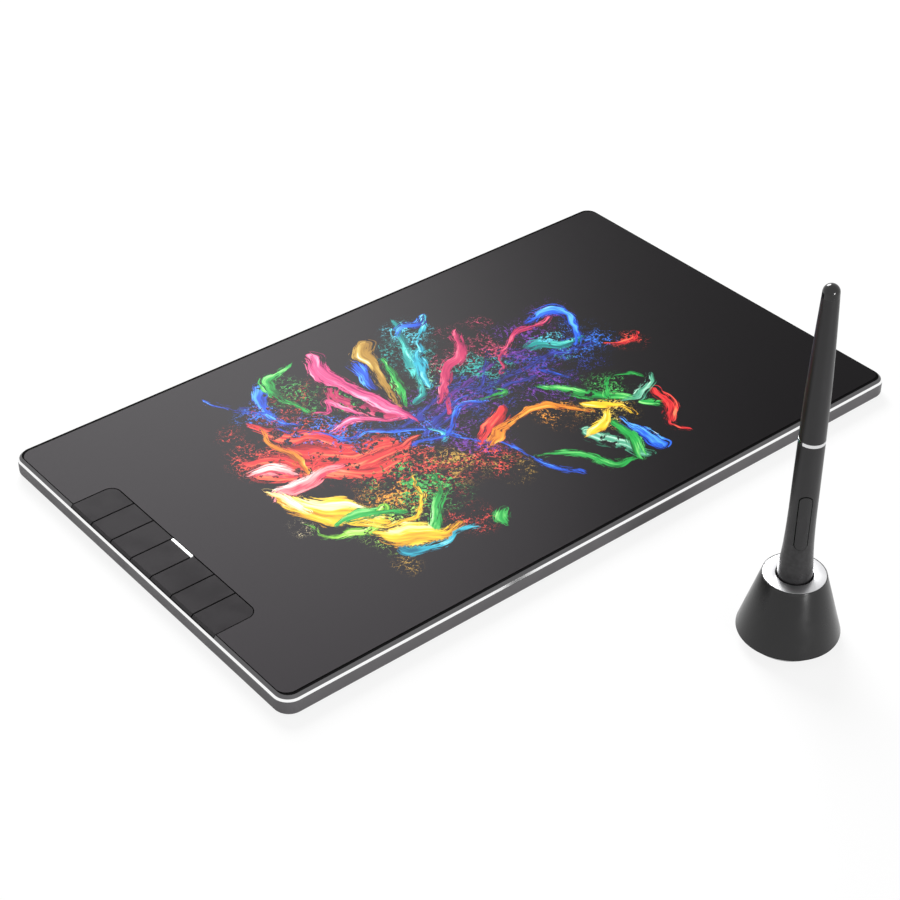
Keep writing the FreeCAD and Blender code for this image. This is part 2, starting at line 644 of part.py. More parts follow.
def sensor_ribbon():
    """Flat cable from the sensor board's edge, turned back on itself, into the main board's connector."""
    low, high = RIBBON_Y
    top_z = SENSOR_UNDER
    low_z = BOARD_Z1 + CONNECTOR_HEIGHT / 2 - RIBBON_THICK / 2
    bend_x = SENSOR_X0 - 1.5
    radius = (top_z - low_z) / 2
    centre = V(bend_x, low, low_z + radius)

    def bend(r):
        return Part.makeCylinder(r, high - low, centre, V(0, 1, 0))

    ring = bend(radius).cut(bend(radius - RIBBON_THICK))
    ring = ring.cut(box(bend_x, bend_x + 2 * radius, low - 1, high + 1, 0, 10))
    upper = box(bend_x, SENSOR_X0 + SHIELD_INSET - 0.5, low, high, top_z - RIBBON_THICK, top_z)
    lower = box(bend_x, CONNECTOR_X - 2.0, low, high, low_z, low_z + RIBBON_THICK)
    return ring.fuse([upper, lower]).removeSplitter()


def key_ribbon():
    """Flat cable stepping down from the key board's connector to the main board's."""
    low, high = KEY_RIBBON_Y
    x0 = KEY_CONNECTOR_X[0] + 1.7
    x1 = KEY_CONNECTOR_X[1] - 2.0
    z0 = KEY_BOARD_TOP + 0.3
    z1 = BOARD_Z1 + 0.4
    line = [(x0, z0), (x0 + 3.0, z0), (x1 - 2.0, z1), (x1, z1)]
    outline = [V(x, low, z) for x, z in line] + [V(x, low, z + RIBBON_THICK) for x, z in reversed(line)]
    return Part.Face(Part.makePolygon(outline + outline[:1])).extrude(V(0, high - low, 0))


def board_screws():
    """Three screws in the main board and two that clamp the carrier and the key board."""
    screws = [pan_screw(x, y, BOARD_Z1, FLOOR_TOP, head=0.7) for x, y in BOARD_POSTS]
    screws += [pan_screw(EAR_X, side * EAR_Y, CARRIER_TOP, FLOOR_TOP, head=0.6) for side in (-1, 1)]
    return screws


def build_tablet():
    save("bottom_cover", bottom_cover())
    save("metal_frame", metal_frame())
    save("top_plate", top_plate())
    save("drawing_sheet", drawing_sheet())
    save("rubber_feet", *[rubber_foot(x, y) for x, y in foot_places()])
    save("case_screws", *[pan_screw(x, y, SEAT_Z, PLATE_UNDER - 0.6) for x, y in screw_places()])
    save("sensor_board", sensor_board())
    save("sensor_shield", sensor_shield())
    save("support_pads", *support_pads())
    save("main_board", main_board())
    save("board_chips", *board_chips())
    save("usb_port_shell", port_shell())
    save("usb_port_tongue", port_tongue())
    save("ribbon_connectors", *ribbon_connectors())
    save("sensor_ribbon", sensor_ribbon())
    save("key_ribbon", key_ribbon())
    save("board_screws", *board_screws())
    save("key_board", key_board())
    save("key_carrier", key_carrier())
    save("middle_panel", middle_panel())
    save("status_light_bar", light_bar())
    lamp_x = STRIP_X1 - LIGHT_BAR_WIDTH / 2
    save("status_lamp", centred_box(lamp_x, 0, LED_SIZE[0], LED_SIZE[1], KEY_BOARD_TOP, LED_TOP))
    keys = [cell for n, cell in enumerate(CELLS) if n != MIDDLE_CELL]
    save("key_switches", *[tact_switch(cell) for cell in keys])
    for n, cell in enumerate(reversed(keys), start=1):
        save(f"key_{n}", key_cap(cell))
        save(f"switch_plunger_{n}", switch_plunger(cell))


# ------------------------------------------------------------------ stylus, with its nib's tip at the origin
PEN_STATIONS = (
    (NIB_PROUD, 1.7),
    (6.0, 3.35),
    (12.0, 4.95),
    (19.0, 6.15),
    (26.0, 6.65),
    (33.0, 6.2),
    (44.0, 5.5),
    (66.0, 5.15),
    (PEN_RING_Z, 4.95),
    (PEN_LENGTH - 42.0, 4.6),
    (PEN_LENGTH - 24.0, 4.0),
    (PEN_LENGTH - 12.0, 3.5),
    (PEN_LENGTH - 3.0, 3.1),
)


def pen_body(shrink):
    """The stylus's outer form, drawn in by shrink: a smooth curve through its stations, and a round end."""
    curve = Part.BSplineCurve()
    points = [V(r - shrink, 0, z) for z, r in PEN_STATIONS]
    curve.interpolate(points)
    last = points[-1]
    tip_z = PEN_LENGTH - shrink
    rise = tip_z - last.z
    ball = (last.x * last.x + rise * rise) / (2 * rise)
    half = math.atan2(last.x, ball - rise) / 2
    middle = V(ball * math.sin(half), 0, tip_z - ball + ball * math.cos(half))
    tip = V(0, 0, tip_z)
    foot = V(0, 0, points[0].z)
    edges = [
        Part.LineSegment(foot, points[0]).toShape(),
        curve.toShape(),
        Part.Arc(last, middle, tip).toShape(),
        Part.LineSegment(tip, foot).toShape(),
    ]
    return Part.Face(Part.Wire(edges)).revolve(V(0, 0, 0), UP, TURN)


def slab(z0, z1):
    """Everything of the stylus between two heights."""
    return post(0, 0, 20, z0, z1)


def along_facing(out0, out1, half_width, z0, z1):
    """Block beside the stylus's axis, from out0 to out1 towards the side that the switch faces (-Y)."""
    return box(-half_width, half_width, -out1, -out0, z0, z1)


def rocker_slot(grow):
    """Stadium-shaped prism through the switch side of the barrel, grown all round."""
    half_w = ROCKER_WIDTH / 2 + grow
    half_l = ROCKER_LENGTH / 2 + grow
    flat = half_l - half_w
    low = ROCKER_Z - flat
    high = ROCKER_Z + flat
    y = 0.0
    edges = [
        Part.LineSegment(V(half_w, y, low), V(half_w, y, high)).toShape(),
        Part.Arc(V(half_w, y, high), V(0, y, high + half_w), V(-half_w, y, high)).toShape(),
        Part.LineSegment(V(-half_w, y, high), V(-half_w, y, low)).toShape(),
        Part.Arc(V(-half_w, y, low), V(0, y, low - half_w), V(half_w, y, low)).toShape(),
    ]
    return Part.Face(Part.Wire(edges)).extrude(V(0, -20, 0))


PEN_OUTER = pen_body(0)
PEN_BORE = pen_body(PEN_WALL)
PEN_SHELL = PEN_OUTER.cut(PEN_BORE)
BORE_FOOT = 9.0  # below this height the nose is solid but for the nib's hole
FERRITE_RADIUS = 2.1
COIL_RADIUS = 2.7
SENSOR_CELL = (22.0, 33.0)
CHASSIS_RADIUS = 3.75
CHASSIS = (SENSOR_CELL[1], 84.0)
CAP_PLUG_RADIUS = 1.95
PEN_BOARD_OUT = 1.0
PEN_BOARD_THICK = 0.8
PEN_SWITCH_STEP = 8.5
ROCKER_INNER = 3.95  # how far from the axis the rocker's inner face lies
EAR_HALF = (1.35, 2.35)
EAR_SPAN = 1.5
EAR_TIP = 0.78  # how far the ears go beyond the pin's axis, clear of the rocker as it rocks


def pen_nose():
    """Screwed-on tip: a cone bored for the nib and opened at the back for the coil."""
    nose = PEN_OUTER.common(slab(0, PEN_NOSE_LENGTH))
    nose = nose.cut(post(0, 0, NIB_RADIUS + 0.2, 0, PEN_NOSE_LENGTH + 1))
    return nose.cut(post(0, 0, COIL_RADIUS + FIT_GAP, BORE_FOOT, PEN_NOSE_LENGTH + 1))


def pen_front_barrel():
    """Front barrel with the grip's swell and the slot for the side switch."""
    barrel = PEN_SHELL.common(slab(PEN_NOSE_LENGTH, PEN_RING_Z))
    return barrel.cut(rocker_slot(ROCKER_GAP))


def pen_ring():
    """Bright ring between the two barrels, a little proud of them."""
    z1 = PEN_RING_Z + PEN_RING_LENGTH
    ring = pen_body(-0.06).cut(PEN_BORE)
    return ring.common(slab(PEN_RING_Z, z1))


def pen_rear_barrel():
    return PEN_SHELL.common(slab(PEN_RING_Z + PEN_RING_LENGTH, PEN_LENGTH - PEN_CAP_LENGTH))


def pen_end_cap():
    """Rounded end, with a plug down inside the rear barrel."""
    z0 = PEN_LENGTH - PEN_CAP_LENGTH
    dome = PEN_OUTER.common(slab(z0, PEN_LENGTH + 1))
    return dome.fuse(post(0, 0, CAP_PLUG_RADIUS, z0 - 6.0, z0 + 0.5)).removeSplitter()


def pen_coil():
    """Copper winding round the ferrite."""
    return tube(0, 0, COIL_RADIUS, FERRITE_RADIUS, 10.5, 19.0)


def pen_ferrite():
    return tube(0, 0, FERRITE_RADIUS, NIB_RADIUS + 0.2, BORE_FOOT, SENSOR_CELL[0])


def pen_pressure_cell():
    """Capsule that the nib's rear end pushes into, closed at its back."""
    cell = post(0, 0, CHASSIS_RADIUS - 0.4, *SENSOR_CELL)
    return cell.cut(post(0, 0, NIB_RADIUS + 0.05, SENSOR_CELL[0] - 1, NIB_LENGTH + 8.0))


def pen_nib():
    """Plastic nib: a thin rod with a rounded tip."""
    rod = post(0, 0, NIB_RADIUS, NIB_RADIUS, NIB_LENGTH + 7.0)
    return rod.fuse(Part.makeSphere(NIB_RADIUS, V(0, 0, NIB_RADIUS)))


def pen_chassis():
    """Moulded spine that carries the board and, in two ears, the side switch's pivot pin."""
    z0, z1 = CHASSIS
    spine = post(0, 0, CHASSIS_RADIUS, z0, z1)
    spine = spine.cut(along_facing(PEN_BOARD_OUT, 20, 20, z0 - 1, z1 + 1))
    hollow = box(-1.8, 1.8, 0.6, 20, z0 + 2.0, z1 - 2.0)
    spine = spine.cut(hollow)
    ears = []
    for side in (-1, 1):
        x0, x1 = sorted((side * EAR_HALF[0], side * EAR_HALF[1]))
        ears.append(box(x0, x1, -ROCKER_PIVOT_OUT - EAR_TIP, 0, ROCKER_Z - EAR_SPAN, ROCKER_Z + EAR_SPAN))
    spine = spine.fuse(ears)
    hole = Part.makeCylinder(PIN_RADIUS + 0.03, 10, V(-5, -ROCKER_PIVOT_OUT, ROCKER_Z), V(1, 0, 0))
    return spine.cut(hole)


def pen_board():
    """Narrow circuit board on the spine, notched for the ears and the switch's lug."""
    z0, z1 = CHASSIS
    board = along_facing(PEN_BOARD_OUT, PEN_BOARD_OUT + PEN_BOARD_THICK, 2.9, z0 + 1.0, z1 - 3.0)
    reach = EAR_SPAN + 0.3
    return board.cut(along_facing(0, 5, EAR_HALF[1] + FIT_GAP, ROCKER_Z - reach, ROCKER_Z + reach))


def pen_switches():
    """Two small switches on the board, one under each end of the rocker."""
    out = PEN_BOARD_OUT + PEN_BOARD_THICK
    places = (ROCKER_Z - PEN_SWITCH_STEP, ROCKER_Z + PEN_SWITCH_STEP)
    return [along_facing(out, out + 1.2, 1.3, z - 1.6, z + 1.6) for z in places]


def pen_rocker():
    """Two-way side switch: follows the barrel, dips at its middle, and hangs on a lug round the pin."""
    skin = pen_body(-0.25).common(rocker_slot(0))
    skin = skin.cut(box(-20, 20, -ROCKER_INNER, 20, 0, PEN_LENGTH))
    dip_radius = 60.0
    dip = Part.makeCylinder(dip_radius, 20, V(-10, -(5.33 + dip_radius), ROCKER_Z), V(1, 0, 0))
    skin = skin.cut(dip)
    lug_half = EAR_HALF[0] - 0.15
    lug = along_facing(ROCKER_PIVOT_OUT - 1.0, ROCKER_INNER + 0.2, lug_half, ROCKER_Z - 1.2, ROCKER_Z + 1.2)
    skin = skin.fuse(lug)
    for z in (ROCKER_Z - PEN_SWITCH_STEP, ROCKER_Z + PEN_SWITCH_STEP):
        skin = skin.fuse(along_facing(ROCKER_INNER - 0.55, ROCKER_INNER + 0.2, 0.7, z - 0.7, z + 0.7))
    hole = Part.makeCylinder(PIN_RADIUS + 0.03, 10, V(-5, -ROCKER_PIVOT_OUT, ROCKER_Z), V(1, 0, 0))
    return skin.cut(hole)


def rocker_pin():
    """Steel pin across the spine's ears."""
    end = V(-EAR_HALF[1], -ROCKER_PIVOT_OUT, ROCKER_Z)
    return Part.makeCylinder(PIN_RADIUS, 2 * EAR_HALF[1], end, V(1, 0, 0))


PEN_REST_Z = STAND_HEIGHT - PEN_DEPTH


def stand_up(shape):
    """Carries a piece of the stylus from its own frame to its place in the stand."""
    placed = shape.copy()
    placed.rotate(V(0, 0, 0), UP, PEN_TURN)
    placed.translate(V(STAND_X, STAND_Y, PEN_REST_Z))
    return placed


def build_pen():
    save("pen_nose", stand_up(pen_nose()))
    save("pen_front_barrel", stand_up(pen_front_barrel()))
    save("pen_ring", stand_up(pen_ring()))
    save("pen_rear_barrel", stand_up(pen_rear_barrel()))
    save("pen_end_cap", stand_up(pen_end_cap()))
    save("pen_chassis", stand_up(pen_chassis()))
    save("pen_board", stand_up(pen_board()))
    save("pen_switches", *[stand_up(s) for s in pen_switches()])
    save("pen_coil", stand_up(pen_coil()))
    save("pen_ferrite", stand_up(pen_ferrite()))
    save("pen_pressure_cell", stand_up(pen_pressure_cell()))
    save("pen_rocker_pin", stand_up(rocker_pin()))
    save("pen_rocker", stand_up(pen_rocker()))
    save("pen_nib", stand_up(pen_nib()))


# ------------------------------------------------------------------ stand, about its own axis
CONE_FOOT = FOOT_CHAMFER_HEIGHT + 0.25
FOOT_RADIUS = STAND_RADIUS - FOOT_CHAMFER_WIDTH
PAD_RADIUS = FOOT_RADIUS - PAD_MARGIN
CONE_SLOPE = (STAND_RADIUS - STAND_TOP_RADIUS) / (STAND_HEIGHT - CONE_FOOT)
RING_THICK = 1.2
RING_SEAT = STAND_HEIGHT - RING_THICK
ROOF_THICK = 1.2
BASE_FLOOR = PAD_THICK + 1.6
PLUG_TOP = 9.0
TRAY_TOP = BASE_FLOOR + 2.4
NIB_DROP = 0.4  # free space under the nib in the socket
SOCKET_FLOOR = PEN_REST_Z - NIB_DROP
SOCKET_UNDER = SOCKET_FLOOR - 0.8
MOUTH_RADIUS = 7.0
SOCKET_FLANGE = 1.2
FLANGE_THICK = 0.6


def cone_radius(z):
    """Outer radius of the stand's cone at height z."""
    return STAND_RADIUS - CONE_SLOPE * (z - CONE_FOOT)


PLUG_WALL = 1.3
PLUG_GAP = 0.2
PLUG_INNER = cone_radius(PLUG_TOP) - STAND_WALL - PLUG_GAP - PLUG_WALL
TRAY_RADIUS = PLUG_INNER - TRAY_GAP
SPARE_NIB_CIRCLE = TRAY_RADIUS - TRAY_RIM


def stand_cone():
    """Hollow cone with a roof that carries the socket and, above it, a seat for the bright ring."""
    roof_under = RING_SEAT - ROOF_THICK
    hole = MOUTH_RADIUS + SOCKET_WALL + 0.15
    step = hole + SOCKET_FLANGE
    seat = STAND_TOP_RADIUS - 0.3
    return turned(
        [
            (cone_radius(CONE_FOOT) - STAND_WALL, CONE_FOOT),
            (cone_radius(CONE_FOOT), CONE_FOOT),
            (STAND_TOP_RADIUS, STAND_HEIGHT),
            (seat, STAND_HEIGHT),
            (seat, RING_SEAT),
            (step, RING_SEAT),
            (step, RING_SEAT - FLANGE_THICK),
            (hole, RING_SEAT - FLANGE_THICK),
            (hole, roof_under),
            (cone_radius(roof_under) - STAND_WALL, roof_under),
        ]
    )


def stand_ring():
    """Bright ring let into the top, round the socket's mouth, its inner edge broken."""
    outer = STAND_TOP_RADIUS - 0.35
    return turned(
        [
            (MOUTH_RADIUS, RING_SEAT),
            (outer, RING_SEAT),
            (outer, STAND_HEIGHT),
            (MOUTH_RADIUS + 0.3, STAND_HEIGHT),
            (MOUTH_RADIUS, STAND_HEIGHT - 0.3),
        ]
    )


def stand_socket():
    """Soft cup that follows the stylus's nose with a small gap, its flange held between roof and ring."""
    inner = pen_body(-SOCKET_GAP)
    outer = pen_body(-SOCKET_GAP - SOCKET_WALL)
    inner.translate(V(0, 0, PEN_REST_Z))
    outer.translate(V(0, 0, PEN_REST_Z))
    mouth = post(0, 0, MOUTH_RADIUS + SOCKET_WALL, PEN_REST_Z + NIB_PROUD, RING_SEAT)
    foot_radius = 1.7 + SOCKET_GAP + SOCKET_WALL
    cup = outer.common(mouth).fuse(post(0, 0, foot_radius, SOCKET_UNDER, PEN_REST_Z + NIB_PROUD + 0.1))
    flange_radius = MOUTH_RADIUS + SOCKET_WALL + SOCKET_FLANGE
    cup = cup.fuse(tube(0, 0, flange_radius, MOUTH_RADIUS, RING_SEAT - FLANGE_THICK, RING_SEAT))
    well = post(0, 0, 1.7 + SOCKET_GAP, SOCKET_FLOOR, PEN_REST_Z + NIB_PROUD + 0.1)
    return cup.cut(inner).cut(well)


def stand_weight():
    """Steel ring bonded inside the cone, which keeps the stand from tipping."""
    low, high = 15.0, 23.0
    gap = STAND_WALL + FIT_GAP
    return turned(
        [(8.2, low), (cone_radius(low) - gap, low), (cone_radius(high) - gap, high), (8.2, high)]
    )


def tray_screw_places():
    return [(7.0 * math.cos(a), 7.0 * math.sin(a)) for a in (math.radians(90 + 120 * n) for n in range(3))]


def stand_base():
    """Moulded base: chamfered foot, recess for the pad, and a plug ring that the cone slides over."""
    inset = STAND_WALL + PLUG_GAP
    base = turned(
        [
            (0, PAD_THICK),
            (PAD_RADIUS + FIT_GAP, PAD_THICK),
            (PAD_RADIUS + FIT_GAP, PAD_PROUD),
            (FOOT_RADIUS, PAD_PROUD),
            (STAND_RADIUS, FOOT_CHAMFER_HEIGHT),
            (STAND_RADIUS, CONE_FOOT - 0.05),
            (cone_radius(CONE_FOOT) - inset, CONE_FOOT - 0.05),
            (cone_radius(PLUG_TOP) - inset, PLUG_TOP),
            (PLUG_INNER, PLUG_TOP),
            (PLUG_INNER, BASE_FLOOR),
            (0, BASE_FLOOR),
        ]
    )
    for x, y in tray_screw_places():
        base = base.cut(post(x, y, SCREW_HEAD_RADIUS + SCREW_CLEARANCE, 0, PAD_THICK + 0.7))
        base = base.cut(post(x, y, SCREW_RADIUS + SCREW_CLEARANCE, 0, BASE_FLOOR + 1))
    return base


def stand_pad():
    """Rubber disc under the base."""
    pad = post(0, 0, PAD_RADIUS, 0, PAD_THICK)
    rim = [e for e in pad.Edges if e.BoundBox.ZMax < 0.01]
    return pad.makeFillet(PAD_PROUD * 0.8, rim)


def spare_nib_places():
    angles = [math.radians(360 * (n + 0.5) / SPARE_NIBS) for n in range(SPARE_NIBS)]
    return [(SPARE_NIB_CIRCLE * math.cos(a), SPARE_NIB_CIRCLE * math.sin(a)) for a in angles]


def nib_tray():
    """Ring with a blind hole for each spare nib."""
    tray = tube(0, 0, TRAY_RADIUS, 5.2, BASE_FLOOR, TRAY_TOP)
    for x, y in spare_nib_places():
        tray = tray.cut(post(x, y, NIB_RADIUS + 0.1, BASE_FLOOR + 0.4, TRAY_TOP + 1))
    for x, y in tray_screw_places():
        tray = tray.cut(post(x, y, SCREW_RADIUS + 0.02, BASE_FLOOR - 1, TRAY_TOP - 0.5))
    return tray


def spare_nib(x, y):
    """Spare nib standing tip up in its hole."""
    low = BASE_FLOOR + 0.4
    high = low + SPARE_NIB_LENGTH - NIB_RADIUS
    return post(x, y, NIB_RADIUS, low, high).fuse(Part.makeSphere(NIB_RADIUS, V(x, y, high)))


def nib_puller():
    """Flat steel washer with a side slit that grips and pulls a worn nib."""
    washer = tube(0, 0, 4.8, 0.85, BASE_FLOOR, BASE_FLOOR + 0.4)
    return washer.cut(centred_box(2.8, 0, 5.6, 0.9, 0, 10))


def on_stand(shape):
    placed = shape.copy()
    placed.translate(V(STAND_X, STAND_Y, 0))
    return placed


def build_stand():
    save("stand_cone", on_stand(stand_cone()))
    save("stand_ring", on_stand(stand_ring()))
    save("stand_socket", on_stand(stand_socket()))
    save("stand_weight", on_stand(stand_weight()))
    save("stand_base", on_stand(stand_base()))
    save("stand_pad", on_stand(stand_pad()))
    save("nib_tray", on_stand(nib_tray()))
    save("spare_nibs", *[on_stand(spare_nib(x, y)) for x, y in spare_nib_places()])
    save("nib_puller", on_stand(nib_puller()))
    screws = [pan_screw(x, y, PAD_THICK + 0.7, TRAY_TOP - 0.6, head=0.6) for x, y in tray_screw_places()]
    save("stand_screws", *[on_stand(s) for s in screws])


os.makedirs("parts", exist_ok=True)
build_tablet()
build_pen()
build_stand()
for name, shape in NODES.items():
    print(f"{name}: solids {len(shape.Solids)}, valid {shape.isValid()}, volume {shape.Volume:.2f}")
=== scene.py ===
"""Pen drawing tablet with its stylus and stand: the looks of every piece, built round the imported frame.

Metres, in the frame of the whole set: the desk is z = 0 and +Z is up. Inside a section, sizes are written in
millimetres and multiplied by MM.
"""

import math

import bmesh
import bpy
import numpy as np
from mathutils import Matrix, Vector


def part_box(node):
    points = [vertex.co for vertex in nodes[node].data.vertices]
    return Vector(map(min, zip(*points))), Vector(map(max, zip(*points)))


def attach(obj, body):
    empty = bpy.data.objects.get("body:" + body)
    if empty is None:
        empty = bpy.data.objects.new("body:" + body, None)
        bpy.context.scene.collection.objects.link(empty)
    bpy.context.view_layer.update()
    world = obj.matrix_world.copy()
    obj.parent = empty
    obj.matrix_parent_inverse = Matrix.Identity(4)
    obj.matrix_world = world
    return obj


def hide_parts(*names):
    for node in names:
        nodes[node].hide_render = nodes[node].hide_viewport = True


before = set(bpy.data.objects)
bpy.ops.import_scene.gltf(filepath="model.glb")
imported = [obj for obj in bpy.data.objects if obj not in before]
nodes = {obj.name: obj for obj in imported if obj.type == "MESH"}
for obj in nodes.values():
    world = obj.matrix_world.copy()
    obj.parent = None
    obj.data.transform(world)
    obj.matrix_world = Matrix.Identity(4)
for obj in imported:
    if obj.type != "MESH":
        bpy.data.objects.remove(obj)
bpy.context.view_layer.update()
MM = 0.001

# ---------------------------------------------------------------- bottom cover
# Tray moulded in black ABS, with a fine spark texture that turns the light soft. Its wall shows below the
# metal frame as a dark grey band, and its outer edges have been rubbed a little smoother in use.


class Finish:
    """One finish: a Principled shader and short methods that add the nodes feeding it. Sizes are in mm."""

    def __init__(self, name, colour, roughness, metallic=0.0, specular=0.5):
        self.material = bpy.data.materials.new(name)
        self.material.use_nodes = True
        self.tree = self.material.node_tree
        self.shader = self.tree.nodes["Principled BSDF"]
        self.place = self.node("TexCoord").outputs["Object"]
        self.set(Base_Color=colour, Roughness=roughness, Metallic=metallic, Specular_IOR_Level=specular)

    def put(self, socket, value):
        """Feeds a socket from a node's output, or with a plain value."""
        if isinstance(value, bpy.types.NodeSocket):
            self.tree.links.new(value, socket)
        elif isinstance(value, tuple) and len(value) == 3 and socket.type == "RGBA":
            socket.default_value = (*value, 1.0)
        else:
            socket.default_value = value

    def node(self, kind, inputs=(), **settings):
        made = self.tree.nodes.new("ShaderNode" + kind)
        for name, value in settings.items():
            setattr(made, name, value)
        for socket, value in dict(inputs).items():
            self.put(made.inputs[socket], value)
        return made

    def maths(self, operation, *values):
        return self.node("Math", dict(enumerate(values)), operation=operation).outputs[0]

    def vector(self, operation, *values):
        made = self.node("VectorMath", dict(enumerate(values)), operation=operation)
        return made.outputs["Value" if operation in ("LENGTH", "DOT_PRODUCT", "DISTANCE") else "Vector"]

    def noise(self, size, detail=2.0, rough=0.5, place=None):
        """Noise whose grains are about size mm across."""
        where = place or self.place
        inputs = {"Vector": where, "Scale": 1 / (size * MM), "Detail": detail, "Roughness": rough}
        return self.node("TexNoise", inputs).outputs["Fac"]

    def ease(self, value, low, high, to_low=0.0, to_high=1.0):
        """to_low below low and to_high above high, with a smooth step between them."""
        inputs = dict(enumerate((value, low, high, to_low, to_high)))
        return self.node("MapRange", inputs, interpolation_type="SMOOTHSTEP").outputs[0]

    def blend(self, share, first, second, mode="MIX"):
        """Colour that is first at a share of 0 and second at a share of 1."""
        colours = {0: share, 6: first, 7: second}
        return self.node("Mix", colours, data_type="RGBA", blend_type=mode).outputs[2]

    def edges(self, radius):
        """1 on sharp outer edges and 0 on flats, by how far a rounded normal turns from the real one."""
        rounded = self.node("Bevel", {"Radius": radius * MM}, samples=6).outputs[0]
        flat = self.node("NewGeometry").outputs["Normal"]
        return self.ease(self.vector("DOT_PRODUCT", rounded, flat), 0.985, 0.8)

    def relief(self, height, depth):
        """Bumps of depth mm from a height of 0 to 1."""
        return self.node("Bump", {"Height": height, "Distance": depth * MM}).outputs[0]

    def set(self, **sockets):
        """Feeds the shader itself. A _ in a name stands for a space."""
        for name, value in sockets.items():
            self.put(self.shader.inputs[name.replace("_", " ")], value)
        return self.material


def times(colour, share):
    """Colour with its three parts multiplied by share."""
    return tuple(c * share for c in colour)


def moulded(name, colour, roughness=0.5, grain=0.3, depth=0.012, wear=1.7, specular=0.5):
    """Moulded plastic: slow clouds in the colour, a spark-eroded grain, and paler, smoother edges."""
    f = Finish(name, colour, roughness, specular=specular)
    dark = times(colour, 0.88)
    pale = times(colour, 1.12)
    worn = tuple(min(c * wear + 0.004, 1.0) for c in colour)
    shade = f.blend(f.noise(9.0, 3.0), dark, pale)
    edge = f.maths("MULTIPLY", f.edges(0.25), f.noise(1.2, 3.0))
    fine = f.noise(grain, 3.0, 0.6)
    patch = f.ease(f.noise(14.0, 2.0), 0.3, 0.7, roughness - 0.04, roughness + 0.05)
    rough = f.maths("SUBTRACT", patch, f.maths("MULTIPLY", edge, 0.14))
    return f.set(Base_Color=f.blend(edge, shade, worn), Roughness=rough, Normal=f.relief(fine, depth))


def finish_cad(name, material):
    """Gives a CAD node's own mesh this finish."""
    mesh = nodes[name].data
    mesh.materials.clear()
    mesh.materials.append(material)


finish_cad("bottom_cover", moulded("case_plastic", (0.094, 0.0895, 0.094), 0.46, specular=0.3))

# ---------------------------------------------------------------- boards and electronics in the tray
# Glass-fibre boards with green solder mask over etched copper, black epoxy chips, steel cans and screws,
# cream nylon connectors and amber flat cables. They are clipped and screwed down inside the tray.


def board(name):
    """Solder mask over copper: pale tracks under the mask in right-angled runs, and tinned round pads."""
    f = Finish(name, (0.01, 0.09, 0.04), 0.3)
    runs = {"Brick Width": 5.2 * MM, "Row Height": 1.3 * MM, "Mortar Size": 0.16 * MM, "Mortar Smooth": 0.1}
    track = f.node("TexBrick", {"Vector": f.place, "Scale": 1.0, **runs}).outputs["Fac"]
    cells = f.node("TexVoronoi", {"Vector": f.place, "Scale": 1 / (3.1 * MM), "Randomness": 0.55})
    pad = f.ease(cells.outputs["Distance"], 0.17, 0.13)
    mask = f.blend(f.noise(6.0, 3.0), (0.008, 0.075, 0.034), (0.012, 0.105, 0.047))
    mask = f.blend(track, mask, (0.03, 0.2, 0.08))
    colour = f.blend(pad, mask, (0.72, 0.7, 0.62))
    raised = f.maths("ADD", f.maths("MULTIPLY", track, 0.5), pad)
    rough = f.ease(pad, 0, 1, 0.32, 0.22)
    return f.set(Base_Color=colour, Metallic=pad, Roughness=rough, Normal=f.relief(raised, 0.03))


def metal(name, colour, roughness, streak=(1.0, 12.0, 12.0)):
    """Metal with drawn streaks, a mottled roughness and edges that handling has brightened."""
    f = Finish(name, colour, roughness, metallic=1.0)
    drawn = f.vector("MULTIPLY", f.place, streak)
    lines = f.noise(1.4, 4.0, 0.65, place=drawn)
    dull = times(colour, 0.86)
    bright = tuple(min(c * 1.25, 0.95) for c in colour)
    shade = f.blend(lines, dull, colour)
    rough = f.ease(f.noise(5.0, 3.0), 0.25, 0.75, roughness * 0.8, roughness * 1.25)
    colour = f.blend(f.edges(0.15), shade, bright)
    return f.set(Base_Color=colour, Roughness=rough, Normal=f.relief(lines, 0.004))


def flat_cable(name):
    """Amber polyimide film with copper strips showing through it, side by side across the cable."""
    f = Finish(name, (0.62, 0.3, 0.06), 0.25)
    pitch = 2.0 * MM
    turns = 2 * math.pi / 20 / pitch
    strips = f.node("TexWave", {"Vector": f.place, "Scale": turns}, bands_direction="Y")
    strip = f.ease(strips.outputs["Fac"], 0.45, 0.6)
    film = f.blend(f.noise(3.0, 3.0), (0.5, 0.22, 0.035), (0.7, 0.34, 0.07))
    colour = f.blend(strip, film, (0.8, 0.45, 0.2))
    return f.set(Base_Color=colour, Roughness=f.ease(strip, 0, 1, 0.22, 0.34), Normal=f.relief(strip, 0.02))


circuit_board = board("circuit_board")
chip_black = moulded("chip_black", (0.015, 0.015, 0.016), 0.42, grain=0.12, depth=0.006)
screw_steel = metal("screw_steel", (0.32, 0.32, 0.33), 0.32, streak=(6.0, 6.0, 1.0))
port_steel = metal("port_steel", (0.55, 0.55, 0.56), 0.26)
switch_steel = metal("switch_steel", (0.6, 0.6, 0.6), 0.3)
ribbon_film = flat_cable("ribbon_film")
plunger_plastic = moulded("plunger_plastic", (0.02, 0.02, 0.02), 0.4, grain=0.15, depth=0.005)
for name in ("main_board", "sensor_board", "key_board"):
    finish_cad(name, circuit_board)
finish_cad("board_chips", chip_black)
finish_cad("board_screws", screw_steel)
finish_cad("sensor_shield", metal("shield_steel", (0.5, 0.5, 0.5), 0.38, streak=(0.4, 9.0, 9.0)))
nylon = moulded("connector_plastic", (0.6, 0.57, 0.48), 0.45, grain=0.2, wear=1.15)
finish_cad("ribbon_connectors", nylon)
finish_cad("sensor_ribbon", ribbon_film)
finish_cad("key_ribbon", ribbon_film)
finish_cad("key_switches", switch_steel)
for number in range(1, 7):
    finish_cad(f"switch_plunger_{number}", plunger_plastic)

# ---------------------------------------------------------------- foam pads
# Closed-cell foam blocks stuck to the tray. They hold the coil board up under the drawing face.


